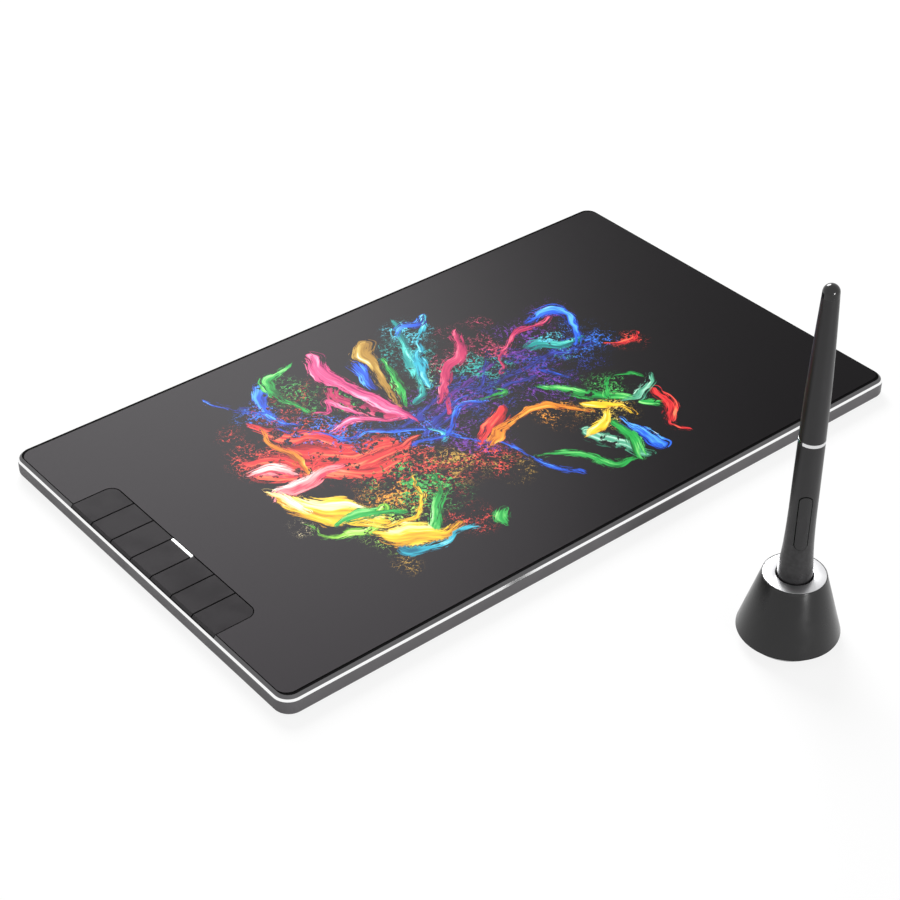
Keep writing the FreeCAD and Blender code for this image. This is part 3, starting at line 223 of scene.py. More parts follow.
def foamed(name, colour):
    """Foam: burst bubbles as pits, darkened in their hollows with painted shade and paler on their rims."""
    f = Finish(name, colour, 0.9, specular=0.15)
    cells = f.node("TexVoronoi", {"Vector": f.place, "Scale": 1 / (0.7 * MM)}, feature="SMOOTH_F1")
    painted_pit_shade = f.ease(cells.outputs["Distance"], 0.2, 0.55)
    # Painted shade: the colour is darkened in the pits and lightened on their rims.
    shade = f.blend(painted_pit_shade, times(colour, 0.45), times(colour, 1.3))
    return f.set(Base_Color=shade, Normal=f.relief(painted_pit_shade, 0.15))


finish_cad("support_pads", foamed("foam", (0.05, 0.05, 0.055)))

# ---------------------------------------------------------------- USB-C inlet
# Drawn stainless shell with a black tongue, in the rear wall. The cable is unplugged.

finish_cad("usb_port_shell", port_steel)
finish_cad("usb_port_tongue", chip_black)

# ---------------------------------------------------------------- feet and case screws
# Four rubber bars pressed into channels of the underside, and eight blackened screws through the tray.


def rubber(name, colour):
    """Soft rubber: pale dusty patches, darker where it is clean, over a coarse matt grain."""
    f = Finish(name, colour, 0.75, specular=0.3)
    dust = f.ease(f.noise(4.0, 6.0, 0.7), 0.5, 0.75)
    dusty = tuple(c * 2.2 + 0.01 for c in colour)
    shade = f.blend(f.maths("MULTIPLY", dust, 0.5), colour, dusty)
    grain = f.relief(f.noise(0.35, 4.0), 0.03)
    return f.set(Base_Color=shade, Roughness=f.ease(dust, 0, 1, 0.75, 0.92), Normal=grain)


foot_rubber = rubber("foot_rubber", (0.02, 0.02, 0.021))
finish_cad("rubber_feet", foot_rubber)
finish_cad("case_screws", screw_steel)

# ---------------------------------------------------------------- key carrier, lamp and light bar
# Black plate that the keys hook into. Beside the plain middle panel a milky light guide carries the
# status lamp's light up to the face, so it shows as a lit white bar.

finish_cad("key_carrier", moulded("plate_plastic", (0.03, 0.03, 0.032)))


def lit(name, colour, glow, strength):
    """Milky plastic lit from within, its glow and colour clouded a little by noise."""
    f = Finish(name, colour, 0.3)
    f.shader.inputs["Emission Strength"].default_value = strength
    cloudy = f.blend(f.noise(1.5, 3.0), times(glow, 0.94), glow)
    milky = f.blend(f.noise(0.8, 2.0), times(colour, 0.95), colour)
    return f.set(Base_Color=milky, Emission_Color=cloudy, Normal=f.relief(f.noise(0.25, 2.0), 0.004))


finish_cad("status_light_bar", lit("light_guide", (0.9, 0.9, 0.9), (1.0, 1.0, 1.0), 0.55))
finish_cad("status_lamp", lit("lamp", (0.9, 0.88, 0.75), (1.0, 0.97, 0.9), 0.8))

# ---------------------------------------------------------------- top plate
# Stiff black plate bonded to the underside of the drawing film. It carries the screw bosses.

# Its rim fills the groove round the film. The plate is near-black with almost no sheen: painted shade that
# stands in for the groove's shadow.
black = (0.004, 0.004, 0.004)
plate_groove_painted_shade = moulded("plate_groove_painted_shade", black, grain=0.2, depth=0.004, wear=1.2, specular=0.004)
finish_cad("top_plate", plate_groove_painted_shade)

# ---------------------------------------------------------------- metal frame
# One aluminium band round the top: bead-blasted and grey anodised, then its upper outer edge cut by a
# diamond tool into a bright chamfer. Along the long sides it slopes up to a groove round the film.

low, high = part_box("metal_frame")
FRAME_HALF_X = (high.x - low.x) / 2
FRAME_HALF_Y = (high.y - low.y) / 2
MIDDLE_Y = (high.y + low.y) / 2
FRAME_TOP = high.z
CORNER = 7.0 * MM
CHAMFER = 0.7 * MM
BEVEL = 1.15 * MM
SEAM = FRAME_TOP - BEVEL - CHAMFER - 0.6 * MM
LEDGE = FRAME_TOP - 1.6 * MM  # the top plate lies on it
LEDGE_INSET = 5.25 * MM
LEDGE_UNDER = LEDGE - 1.2 * MM
LIP_INSET = 1.9 * MM  # inside this the lip goes down behind the tray's wall
LIP_INNER = LIP_INSET + 1.0 * MM
LIP_FOOT = SEAM - 0.9 * MM
CARRIER_INSET = 1.3 * MM  # what is left of the band beside the key carrier
CUT_INSET = 0.8 * MM  # what is left of it beside the keys
CUT_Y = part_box("key_1")[1].y - MIDDLE_Y + 0.3 * MM
CARRIER_Y = CUT_Y + 1.2 * MM
ARC_STEPS = 24

# Section of the band: inset and height, then the same corner beside the key carrier and beside the keys.
CUT_FOOT = (0, SEAM + 0.6 * MM)
CUT_HEAD = (CHAMFER, FRAME_TOP - BEVEL)
BEVEL_HEAD = (CHAMFER + BEVEL, FRAME_TOP)
BEVEL_BY_KEYS = (CUT_INSET, FRAME_TOP - BEVEL - CHAMFER + CUT_INSET)
CARRIER_SEAM = (CARRIER_INSET, SEAM)
KEY_SEAM = (CUT_INSET, SEAM)
SECTION = (
    ((0, SEAM), (0, SEAM), (0, SEAM)),
    (CUT_FOOT, CUT_FOOT, CUT_FOOT),
    (CUT_HEAD, CUT_HEAD, CUT_HEAD),
    (BEVEL_HEAD, BEVEL_HEAD, BEVEL_BY_KEYS),
    ((CHAMFER + BEVEL, LEDGE), (CHAMFER + BEVEL, LEDGE), (CUT_INSET, LEDGE)),
    ((LEDGE_INSET, LEDGE), (CARRIER_INSET, LEDGE), (CUT_INSET, LEDGE)),
    ((LEDGE_INSET, LEDGE_UNDER), CARRIER_SEAM, KEY_SEAM),
    ((LIP_INNER, LEDGE_UNDER), CARRIER_SEAM, KEY_SEAM),
    ((LIP_INNER, LIP_FOOT), CARRIER_SEAM, KEY_SEAM),
    ((LIP_INSET, LIP_FOOT), CARRIER_SEAM, KEY_SEAM),
    ((LIP_INSET, SEAM), CARRIER_SEAM, KEY_SEAM),
)


def band(whole, by_carrier, by_keys):
    """Rounded rectangle through one corner of the section: four arcs joined by straight sides, each point
    its arc's centre plus the radius in the direction of its angle. The left side steps in and out at
    +-CARRIER_Y and +-CUT_Y, with two points on each step."""
    inset, z = whole
    radius = CORNER - inset
    angle = np.linspace(0, math.pi / 2, ARC_STEPS + 1)
    turns = np.concatenate([angle + k * math.pi / 2 for k in range(4)])
    sign_x = np.repeat((1, -1, -1, 1), ARC_STEPS + 1)
    sign_y = np.repeat((1, 1, -1, -1), ARC_STEPS + 1)
    x = sign_x * (FRAME_HALF_X - CORNER) + radius * np.cos(turns)
    y = sign_y * (FRAME_HALF_Y - CORNER) + radius * np.sin(turns) + MIDDLE_Y
    ring = np.stack((x, y, np.full_like(x, z)), axis=1)
    down = ((CARRIER_Y, whole), (CARRIER_Y, by_carrier), (CUT_Y, by_carrier), (CUT_Y, by_keys))
    places = [(y, corner) for y, corner in down] + [(-y, corner) for y, corner in down[::-1]]
    steps_in = [(-FRAME_HALF_X + corner[0], MIDDLE_Y + y, corner[1]) for y, corner in places]
    half = 2 * (ARC_STEPS + 1)
    return np.concatenate((ring[:half], steps_in, ring[half:]))


def skin(name, rings, material, bevel=0.0):
    """Closed mesh through rings with the same number of points, as whole index arrays: ring k joins ring
    k + 1 and the last joins the first, and point n joins point n + 1 in the same way."""
    rings = np.asarray(rings, dtype=float)
    count, around = rings.shape[:2]
    here = np.arange(count)[:, None] * around
    above = np.roll(here, -1)
    n = np.arange(around)[None, :]
    beside = np.roll(n, -1)
    faces = np.stack([here + n, here + beside, above + beside, above + n], axis=-1).reshape(-1, 4)
    mesh = bpy.data.meshes.new(name)
    mesh.from_pydata(rings.reshape(-1, 3), [], faces)
    return dress(name, mesh, material, bevel)


def dress(name, mesh, material, bevel=0.0):
    """Merges doubles, turns the faces outwards, shades them smooth except over sharp edges, and puts the
    piece in the scene."""
    work = bmesh.new()
    work.from_mesh(mesh)
    bmesh.ops.remove_doubles(work, verts=work.verts, dist=1e-7)
    bmesh.ops.recalc_face_normals(work, faces=work.faces)
    for edge in work.edges:
        edge.smooth = edge.calc_face_angle(0.0) < math.radians(35)
    for face in work.faces:
        face.smooth = True
    work.to_mesh(mesh)
    work.free()
    mesh.materials.append(material)
    piece = bpy.data.objects.new(name, mesh)
    bpy.context.scene.collection.objects.link(piece)
    if bevel:
        rounding = piece.modifiers.new("edge", "BEVEL")
        rounding.width = bevel
        rounding.segments = 3
        rounding.limit_method = "ANGLE"
        rounding.angle_limit = math.radians(25)
        rounding.harden_normals = True
    return piece


def anodised(name):
    """Bead-blasted and anodised aluminium, and the diamond-cut chamfer in bare bright metal, told apart by
    slope and by height."""
    grey = (0.12, 0.118, 0.121)
    bright = (0.97, 0.97, 0.97)
    f = Finish(name, grey, 0.4, metallic=1.0)
    slope = f.node("SeparateXYZ", {0: f.node("NewGeometry").outputs["True Normal"]}).outputs[2]
    steep = f.maths("MULTIPLY", f.ease(slope, 0.4, 0.5), f.ease(slope, 0.9, 0.8))
    z = f.node("SeparateXYZ", {0: f.place}).outputs[2]
    top = FRAME_TOP - BEVEL
    above = f.ease(z, top - CHAMFER - 0.08 * MM, top - CHAMFER - 0.02 * MM)
    below = f.ease(z, top + 0.05 * MM, top)
    cut = f.maths("MULTIPLY", steep, f.maths("MULTIPLY", above, below))
    blasted = f.noise(0.18, 3.0, 0.6)
    cloud = f.blend(f.noise(12.0, 3.0), times(grey, 0.93), times(grey, 1.07))
    turned = f.noise(0.6, 3.0, 0.6, place=f.vector("MULTIPLY", f.place, (0.02, 0.02, 14.0)))
    shine = f.blend(turned, times(bright, 0.96), bright)
    rough = f.ease(cut, 0, 1, 0.42, 0.12)
    depth = f.maths("MULTIPLY", blasted, f.maths("SUBTRACT", 1.0, cut))
    return f.set(Base_Color=f.blend(cut, cloud, shine), Roughness=rough, Normal=f.relief(depth, 0.006))


rings = [band(*corner) for corner in SECTION]
metal_frame = skin("metal_band", rings, anodised("frame_metal"), bevel=0.05 * MM)
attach(metal_frame, "tablet")
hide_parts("metal_frame")

# ---------------------------------------------------------------- keys and middle panel
# Seven moulded caps in a row: six that press and a plain one. Fine matt texture like the film beside them,
# with edges that fingers have polished.


def key_finish(name):
    """Matt moulded black on top. The sloped ends beside the frame, picked by their slope, are given a paler
    grey, and finger grease leaves smoother patches in the middle of the caps."""
    f = Finish(name, (0.009, 0.0082, 0.009), 0.38, specular=0.024)
    slope = f.node("SeparateXYZ", {0: f.node("NewGeometry").outputs["True Normal"]}).outputs[2]
    sloped = f.maths("MULTIPLY", f.ease(slope, 0.95, 0.85), f.ease(slope, 0.4, 0.6))
    top = f.blend(f.noise(9.0, 3.0), (0.0076, 0.0069, 0.0076), (0.0098, 0.009, 0.0098))
    # The sloped ends are made a paler grey, picked by their slope.
    colour = f.blend(sloped, top, (0.052, 0.05, 0.052))
    edge = f.maths("MULTIPLY", f.edges(0.25), f.noise(1.2, 3.0))
    rough = f.ease(f.noise(12.0, 3.0), 0.35, 0.7, 0.35, 0.41)
    return f.set(Base_Color=f.blend(edge, colour, (0.03, 0.028, 0.03)), Roughness=rough,
                 Specular_Tint=(1.0, 0.9, 1.0), Normal=f.relief(f.noise(0.25, 3.0, 0.6), 0.006))


key_plastic = key_finish("key_plastic")
finish_cad("middle_panel", key_plastic)
for number in range(1, 7):
    finish_cad(f"key_{number}", key_plastic)

# ---------------------------------------------------------------- drawing film
# Matt polyester film let into the top plate. Its face is printed with thrown paint: tongues of colour that
# run out from one place, each torn into strands, with fine threads and drops between them.

low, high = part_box("drawing_sheet")
FILM_X0, FILM_X1 = low.x, high.x
FILM_HALF_Y = (high.y - low.y) / 2
FILM_UNDER, FILM_TOP = low.z, high.z
FILM_CORNER = 5.15 * MM
STRIP_GAP = 0.3 * MM
STRIP_CORNER = 4.4 * MM + STRIP_GAP
NOTCH_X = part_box("key_1")[1].x + STRIP_GAP
NOTCH_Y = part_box("key_1")[1].y - MIDDLE_Y + STRIP_GAP
PRINT_X = (-136 * MM, 118 * MM)  # the printed part of the film, with a fine mesh
PRINT_Y = 84 * MM
FINE, COARSE = 0.85 * MM, 6.0 * MM
DRAWN_IN = 0.85  # share of a tongue's width that is left once the paint has drawn together
THINNEST = 0.3  # half width of the thinnest tongue; the print's own sizes are plain millimetres
FAR = 1e3  # further than any tongue
APART = 37.0  # between the starts of two tongues in the noise that tears them


def steps(*stretches):
    """Values along a line of stretches (from, to, step), each divided evenly, with shared ends once."""
    runs = [np.linspace(a, b, max(2, int(math.ceil(abs(b - a) / step)) + 1)) for a, b, step in stretches]
    return np.concatenate([runs[0]] + [run[1:] for run in runs[1:]])


def film_mesh():
    """Plan grid with its columns along Y. The ends of a column follow the outline, which is straight but for
    quarter circles at the corners: y = half - r + sqrt(r^2 - into^2). Beside the key strip a column is split
    in two by the notch. A wall goes down from the rim to the underside, which is one flat face."""
    inner = NOTCH_Y - STRIP_CORNER

    def outline(x):
        into = np.maximum(FILM_CORNER - np.minimum(x - FILM_X0, FILM_X1 - x), 0.0)
        return FILM_HALF_Y - FILM_CORNER + np.sqrt(np.maximum(FILM_CORNER**2 - into**2, 0.0))

    def notch(x):
        into = np.maximum(x - (NOTCH_X - STRIP_CORNER), 0.0)
        return inner + np.sqrt(np.maximum(STRIP_CORNER**2 - into**2, 0.0))

    arc = 1 - np.sin(np.linspace(0, math.pi / 2, 9))
    left_round = FILM_X0 + FILM_CORNER * arc[::-1]
    right_round = FILM_X1 - FILM_CORNER * arc
    notch_round = NOTCH_X - STRIP_CORNER * arc
    between = steps((left_round[-1], notch_round[0], COARSE))
    x_arm = np.unique(np.concatenate((left_round, between, notch_round)))
    near, far = PRINT_X
    plain = steps((NOTCH_X, near, 3 * MM), (near, far, FINE), (far, right_round[0], COARSE))
    x_body = np.unique(np.concatenate((plain, right_round)))
    share = (steps((inner, PRINT_Y, FINE), (PRINT_Y, FILM_HALF_Y, 2.4 * MM)) - inner) / (FILM_HALF_Y - inner)
    middle = steps((-inner, inner, FINE))[1:-1]
    arm = notch(x_arm)[:, None] + share * (outline(x_arm) - notch(x_arm))[:, None]
    side = inner + share * (outline(x_body) - inner)[:, None]
    across = np.concatenate((-side[:, ::-1], np.tile(middle, (len(x_body), 1)), side), axis=1)
    points, faces, grids, count = [], [], [], 0
    for x, y in ((x_arm, arm), (x_arm, -arm[:, ::-1]), (x_body, across)):
        columns = np.broadcast_to(x[:, None], y.shape)
        place = np.stack((columns, y + MIDDLE_Y, np.full(y.shape, FILM_TOP)), axis=-1)
        index = count + np.arange(y.size).reshape(y.shape)
        quads = np.stack((index[:-1, :-1], index[1:, :-1], index[1:, 1:], index[:-1, 1:]), axis=-1)
        points.append(place.reshape(-1, 3))
        faces.append(quads.reshape(-1, 4))
        grids.append(index)
        count += y.size
    rear, front, body = grids
    top_row = len(share) + len(middle)
    loop = np.concatenate((
        body[:, 0], body[-1, 1:], body[-2::-1, -1], rear[-2::-1, -1], rear[0, -2::-1], rear[1:, 0],
        body[0, top_row - 1:len(share) - 1:-1], front[::-1, -1], front[0, -2::-1], front[1:-1, 0],
    ))
    rim = np.concatenate(points)[loop]
    rim[:, 2] = FILM_UNDER
    under = count + np.arange(len(loop))
    walls = np.stack((loop, under, np.roll(under, -1), np.roll(loop, -1)), axis=-1)
    mesh = bpy.data.meshes.new("drawing_film")
    sides = np.concatenate(faces + [walls]).tolist()
    mesh.from_pydata(np.concatenate(points + [rim]), [], sides + [under[::-1].tolist()])
    return mesh


# Paint, as deep, middle and light tones.
PAINTS = {
    "pink": ((0.36, 0.01, 0.12), (0.8, 0.09, 0.26), (1.0, 0.5, 0.66)),
    "magenta": ((0.22, 0.004, 0.06), (0.55, 0.03, 0.12), (0.85, 0.2, 0.3)),
    "red": ((0.25, 0.006, 0.01), (0.75, 0.035, 0.04), (1.0, 0.22, 0.1)),
    "rose": ((0.7, 0.04, 0.1), (0.95, 0.35, 0.36), (1.0, 0.85, 0.8)),
    "orange": ((0.4, 0.08, 0.006), (0.85, 0.28, 0.02), (1.0, 0.6, 0.1)),
    "yellow": ((0.6, 0.25, 0.01), (1.0, 0.66, 0.03), (1.0, 0.93, 0.5)),
    "cream": ((0.95, 0.55, 0.08), (1.0, 0.85, 0.4), (1.0, 1.0, 0.92)),
    "ochre": ((0.14, 0.07, 0.01), (0.42, 0.23, 0.03), (0.7, 0.5, 0.12)),
    "green": ((0.005, 0.1, 0.02), (0.02, 0.42, 0.07), (0.3, 0.85, 0.25)),
    "lime": ((0.03, 0.25, 0.02), (0.3, 0.7, 0.06), (0.85, 1.0, 0.4)),
    "sage": ((0.02, 0.14, 0.08), (0.1, 0.42, 0.26), (0.5, 0.85, 0.66)),
    "teal": ((0.0, 0.07, 0.08), (0.01, 0.28, 0.27), (0.12, 0.75, 0.65)),
    "cyan": ((0.0, 0.12, 0.2), (0.03, 0.45, 0.6), (0.35, 0.9, 0.95)),
    "blue": ((0.005, 0.015, 0.22), (0.015, 0.1, 0.7), (0.12, 0.5, 1.0)),
    "navy": ((0.004, 0.006, 0.06), (0.02, 0.03, 0.3), (0.06, 0.14, 0.75)),
    "violet": ((0.02, 0.004, 0.06), (0.1, 0.02, 0.28), (0.38, 0.1, 0.6)),
}

# Three coats, one over the other. A tongue is its paint and the places along its middle line, each with the
# half width there, in millimetres from the middle of the film.
FIRST_COAT = (
    ("red", (-26, -2, 1), (-44, -2, 5), (-62, 2, 8), (-78, 12, 8), (-90, 19, 6)),
    ("red", (-50, 14, 3), (-60, 26, 5), (-69, 36, 5), (-76, 50, 1.5)),
    ("red", (-36, -8, 1), (-46, -10, 4), (-58, -5, 7), (-72, 8, 8), (-84, 24, 5), (-92, 30, 1)),
    ("red", (-32, 2, 1), (-44, 6, 5), (-56, 9, 7), (-66, 16, 5), (-73, 28, 2)),
    ("navy", (-14, 4, 2), (8, 8, 1.2), (32, 9, 1.6), (56, 9, 1.4), (80, 4, 0.6)),
    ("violet", (-12, 8, 1), (12, 15, 1.4), (36, 20, 0.8), (58, 22, 0.6)),
    ("navy", (-22, -4, 1), (-12, 2, 1.6), (4, 0, 0.8), (22, 4, 1.4), (44, 2, 0.7)),
    ("navy", (-30, 10, 1), (-16, 9, 2), (2, 18, 0.8), (20, 12, 1.2), (38, 26, 0.6)),
    ("lime", (-98, -19, 0.5), (-97, -28, 0.9), (-90, -35, 2), (-79, -37, 3.4), (-66, -30, 3)),
    ("teal", (-10, 18, 1), (2, 30, 2.4), (9, 44, 6), (13, 56, 3.4), (20, 70, 2), (22, 77, 1.2)),
    ("green", (40, -6, 1), (48, -17, 3), (57, -29, 4), (66, -40, 3), (72, -48, 1.5)),
    ("sage", (34, -44, 3), (35, -54, 5), (39, -62, 4), (44, -71, 2)),
    ("blue", (-60, 38, 0.8), (-64, 47, 1.5), (-63, 56, 3.4), (-60, 66, 4.5), (-55, 71, 2)),
    ("magenta", (-21, 14, 1), (-28, 26, 4), (-35, 40, 3), (-33, 50, 1)),
    ("teal", (56, 22, 1.5), (64, 18, 4), (71, 12, 4), (80, 12, 1.4)),
)
SECOND_COAT = (
    ("rose", (-99, 2, 1), (-93, 5, 3), (-84, 3, 5), (-72, 3, 3), (-62, 2, 1)),
    ("orange", (-74, 46, 0.8), (-76, 34, 1.6), (-74, 20, 2.2), (-76, 8, 1.6)),
    ("yellow", (-96, 2, 3), (-90, -9, 8), (-84, -20, 10), (-76, -29, 6), (-70, -38, 2)),
    ("yellow", (-79, -40, 2), (-74, -48, 6), (-66, -53, 8), (-58, -58, 3), (-48, -58, 0.8)),
    ("cyan", (-76, -52, 0.8), (-74, -59, 2.6), (-66, -63, 2), (-54, -60, 1.2), (-44, -64, 0.8)),
    ("green", (-60, -54, 3), (-51, -46, 3), (-43, -38, 2), (-37, -27, 0.9)),
    ("pink", (-19, 8, 1), (-20, 20, 4), (-24, 36, 5), (-28, 52, 4.6), (-28, 64, 5.4), (-24, 76, 3)),
    ("ochre", (-17, 20, 0.8), (-11, 36, 2.4), (-8, 52, 3.2), (-4, 64, 4.8), (1, 70, 4)),
    ("magenta", (-1, 14, 0.8), (8, 23, 2.6), (18, 31, 3.6), (28, 37, 4.4), (36, 47, 2.6), (41, 53, 1)),
    ("magenta", (34, 12, 0.6), (44, 24, 1), (54, 31, 1.4), (68, 34, 1.8), (80, 32, 1)),
    ("blue", (70, 38, 1), (79, 39, 3), (86, 35, 5), (87, 26, 2.4), (82, 18, 2), (74, 8, 1.4)),
    ("red", (-6, -23, 0.8), (1, -18, 2.6), (8, -12, 4.6), (15, -8, 3)),
    ("blue", (-14, -2, 1.4), (-8, -16, 1), (0, -30, 1), (4, -46, 0.8), (11, -65, 0.6)),
    ("green", (5, -42, 0.7), (15, -49, 1.4), (21, -59, 1.6), (28, -69, 1.8), (38, -71, 1)),
    ("green", (46, -46, 2), (46, -56, 4.4), (43, -64, 4), (40, -72, 1.6)),
    ("blue", (51, -48, 0.8), (51, -58, 2.4), (52, -70, 2.4)),
    ("red", (78, -40, 2), (74, -51, 3), (68, -58, 2.4), (63, -62, 1.4), (67, -71, 0.7)),
    ("blue", (-20, 2, 1.4), (-37, 12, 1), (-50, 21, 0.9), (-62, 32, 0.6), (-67, 42, 0.6)),
    ("blue", (-62, 54, 0.7), (-72, 60, 1), (-78, 70, 0.8), (-80, 79, 0.6)),
    ("cyan", (18, 48, 0.9), (24, 58, 1.4), (31, 66, 1.4), (36, 70, 1.4)),
)
THIRD_COAT = (
    ("rose", (-96, 22, 1), (-90, 21, 3), (-84, 17, 3.4), (-80, 11, 1.4)),
    ("cream", (-97, 8, 1), (-95, 2, 3), (-92, -6, 3.4), (-90, -14, 1.4)),
    ("green", (-86, -28, 2), (-76, -28, 4), (-68, -31, 2), (-62, -38, 1)),
    ("yellow", (-78, -33, 1), (-71, -42, 1.6), (-60, -44, 1), (-50, -34, 1), (-41, -23, 0.6)),
    ("pink", (-22, 12, 0.8), (-32, 22, 2.4), (-41, 26, 2.2), (-49, 24, 0.8)),
    ("pink", (-34, 28, 0.8), (-38, 36, 2), (-39, 44, 1.8), (-44, 38, 1), (-48, 40, 0.8)),
    ("blue", (-17, 39, 1), (-16, 47, 3.4), (-14, 55, 2.8), (-12, 59, 0.8)),
    ("green", (-14, 18, 0.7), (-8, 30, 2), (-4, 42, 2), (-1, 54, 0.7)),
    ("green", (-50, 43, 0.8), (-52, 56, 0.9), (-54, 67, 1.6), (-46, 75, 2.2), (-35, 78, 1.6)),
    ("blue", (16, 66, 1), (22, 69, 2.4), (29, 67, 2.4), (37, 70, 1)),
    ("cyan", (2, 26, 0.8), (8, 38, 3), (12, 47, 3), (18, 50, 1)),
    ("orange", (-5, -26, 0.8), (6, -19, 2), (18, -17, 1.8), (30, -17, 2.4), (37, -23, 1.6), (43, -33, 1.2)),
    ("yellow", (46, -27, 1), (51, -33, 3.6), (56, -40, 1.4), (57, -47, 0.7)),
    ("yellow", (32, -46, 1), (38, -44, 3), (45, -42, 3), (50, -38, 1)),
    ("sage", (60, -37, 1), (69, -38, 2.8), (79, -35, 2.6), (84, -28, 0.8)),
    ("green", (57, -30, 0.5), (66, -22, 0.9), (72, -20, 1), (79, -27, 0.8)),
    ("magenta", (-3, 4, 0.7), (3, 12, 1.3), (8, 22, 0.9)),
    ("red", (86, 1, 0.6), (93, -3, 1.3), (99, -6, 0.9), (104, -3, 0.8)),
    ("blue", (-30, -6, 0.7), (-18, -8, 1.4), (-6, -2, 1.2), (4, 4, 0.8), (12, 0, 0.6)),
    ("cyan", (-18, -10, 0.7), (-14, -5, 1.6), (-16, 1, 0.7)),
    ("blue", (48, 4, 0.6), (51, -3, 1.1), (54, -9, 0.7)),
    ("green", (12, 3, 0.6), (18, 1, 1.2), (26, 0, 1.6), (25, 4, 0.6)),
    ("green", (-34, -70, 1), (-33, -65, 3.4), (-28, -62, 1.6)),
)

# Threads and drops: paint, middle, radius and how thick they lie.
FIRST_SPRAY = (
    ("red", -62, 20, 27, 1.0), ("red", -44, -6, 26, 1.1), ("red", -34, -22, 20, 1.0),
    ("orange", -58, -26, 18, 1.0), ("red", -12, -32, 15, 1.0), ("blue", -24, 2, 19, 1.1),
    ("navy", 14, 8, 24, 1.1), ("navy", 44, 8, 24, 1.1), ("navy", 68, 6, 18, 1.1),
    ("red", -60, 52, 16, 0.6), ("teal", 12, 52, 18, 1.0), ("magenta", 22, 34, 15, 0.9),
    ("yellow", 50, -38, 13, 1.1), ("green", 62, -24, 13, 0.7), ("red", 95, -4, 9, 0.9),
    ("ochre", -80, -64, 9, 0.5), ("cream", -100, -20, 8, 0.4), ("red", -86, 28, 16, 1.0),
    ("red", -42, -58, 14, 0.6), ("red", -86, 50, 8, 0.5), ("violet", 82, 36, 12, 0.9),
    ("magenta", 51, 50, 8, 0.5), ("red", -40, 56, 10, 0.5),
)
SECOND_SPRAY = (
    ("blue", -52, 22, 22, 1.0), ("blue", -68, 54, 13, 0.8), ("green", -46, -26, 24, 1.0),
    ("violet", 0, 8, 24, 1.1), ("teal", 30, 22, 20, 1.1), ("violet", 56, 24, 22, 1.0),
    ("magenta", 42, 28, 16, 0.9), ("cyan", 66, 16, 14, 1.1), ("blue", 80, 10, 16, 1.0),
    ("violet", -10, -18, 18, 1.0), ("ochre", -24, -26, 18, 1.0), ("magenta", 36, 50, 12, 0.6),
    ("ochre", -8, -44, 12, 0.6), ("violet", 42, -2, 22, 0.9), ("orange", 32, -26, 13, 0.8),
    ("lime", -68, -44, 18, 1.0), ("green", -38, 42, 16, 0.7), ("cyan", 20, 64, 14, 0.9),
    ("green", -50, 62, 14, 0.8), ("sage", 6, 30, 14, 0.8),
)


def wander(x, y, length, reach, seed):
    """Smooth random shift of a place, as a sum of sine waves about length long in twelve directions. Such a
    sum is usually about 2.4, the root of half of twelve, so it is divided by that."""
    random = np.random.default_rng(seed)
    shift = np.zeros(x.shape)
    for turn, stretch, phase in random.uniform((0, 0.6, 0), (6.283, 1.7, 6.283), (12, 3)):
        wave = 2 * math.pi / (length * stretch)
        shift += np.sin(wave * (x * math.cos(turn) + y * math.sin(turn)) + phase)
    return shift * reach / 2.4


def middle_line(places):
    """Forty places along a smooth line through the given ones (Catmull-Rom), each with its half width."""
    given = np.array(places, dtype=float)
    ends = np.concatenate((2 * given[:1] - given[1:2], given, 2 * given[-1:] - given[-2:-1]))
    t = np.linspace(0, len(given) - 1, 40)
    k = np.minimum(t.astype(int), len(given) - 2)
    u = (t - k)[:, None]
    a, b, c, d = (ends[k + shift] for shift in range(4))
    line = b + 0.5 * u * (c - a + u * (2 * a - 5 * b + 4 * c - d + u * (3 * (b - c) + d - a)))
    line[:, 2] = np.maximum(line[:, 2] * DRAWN_IN, THINNEST)
    return line


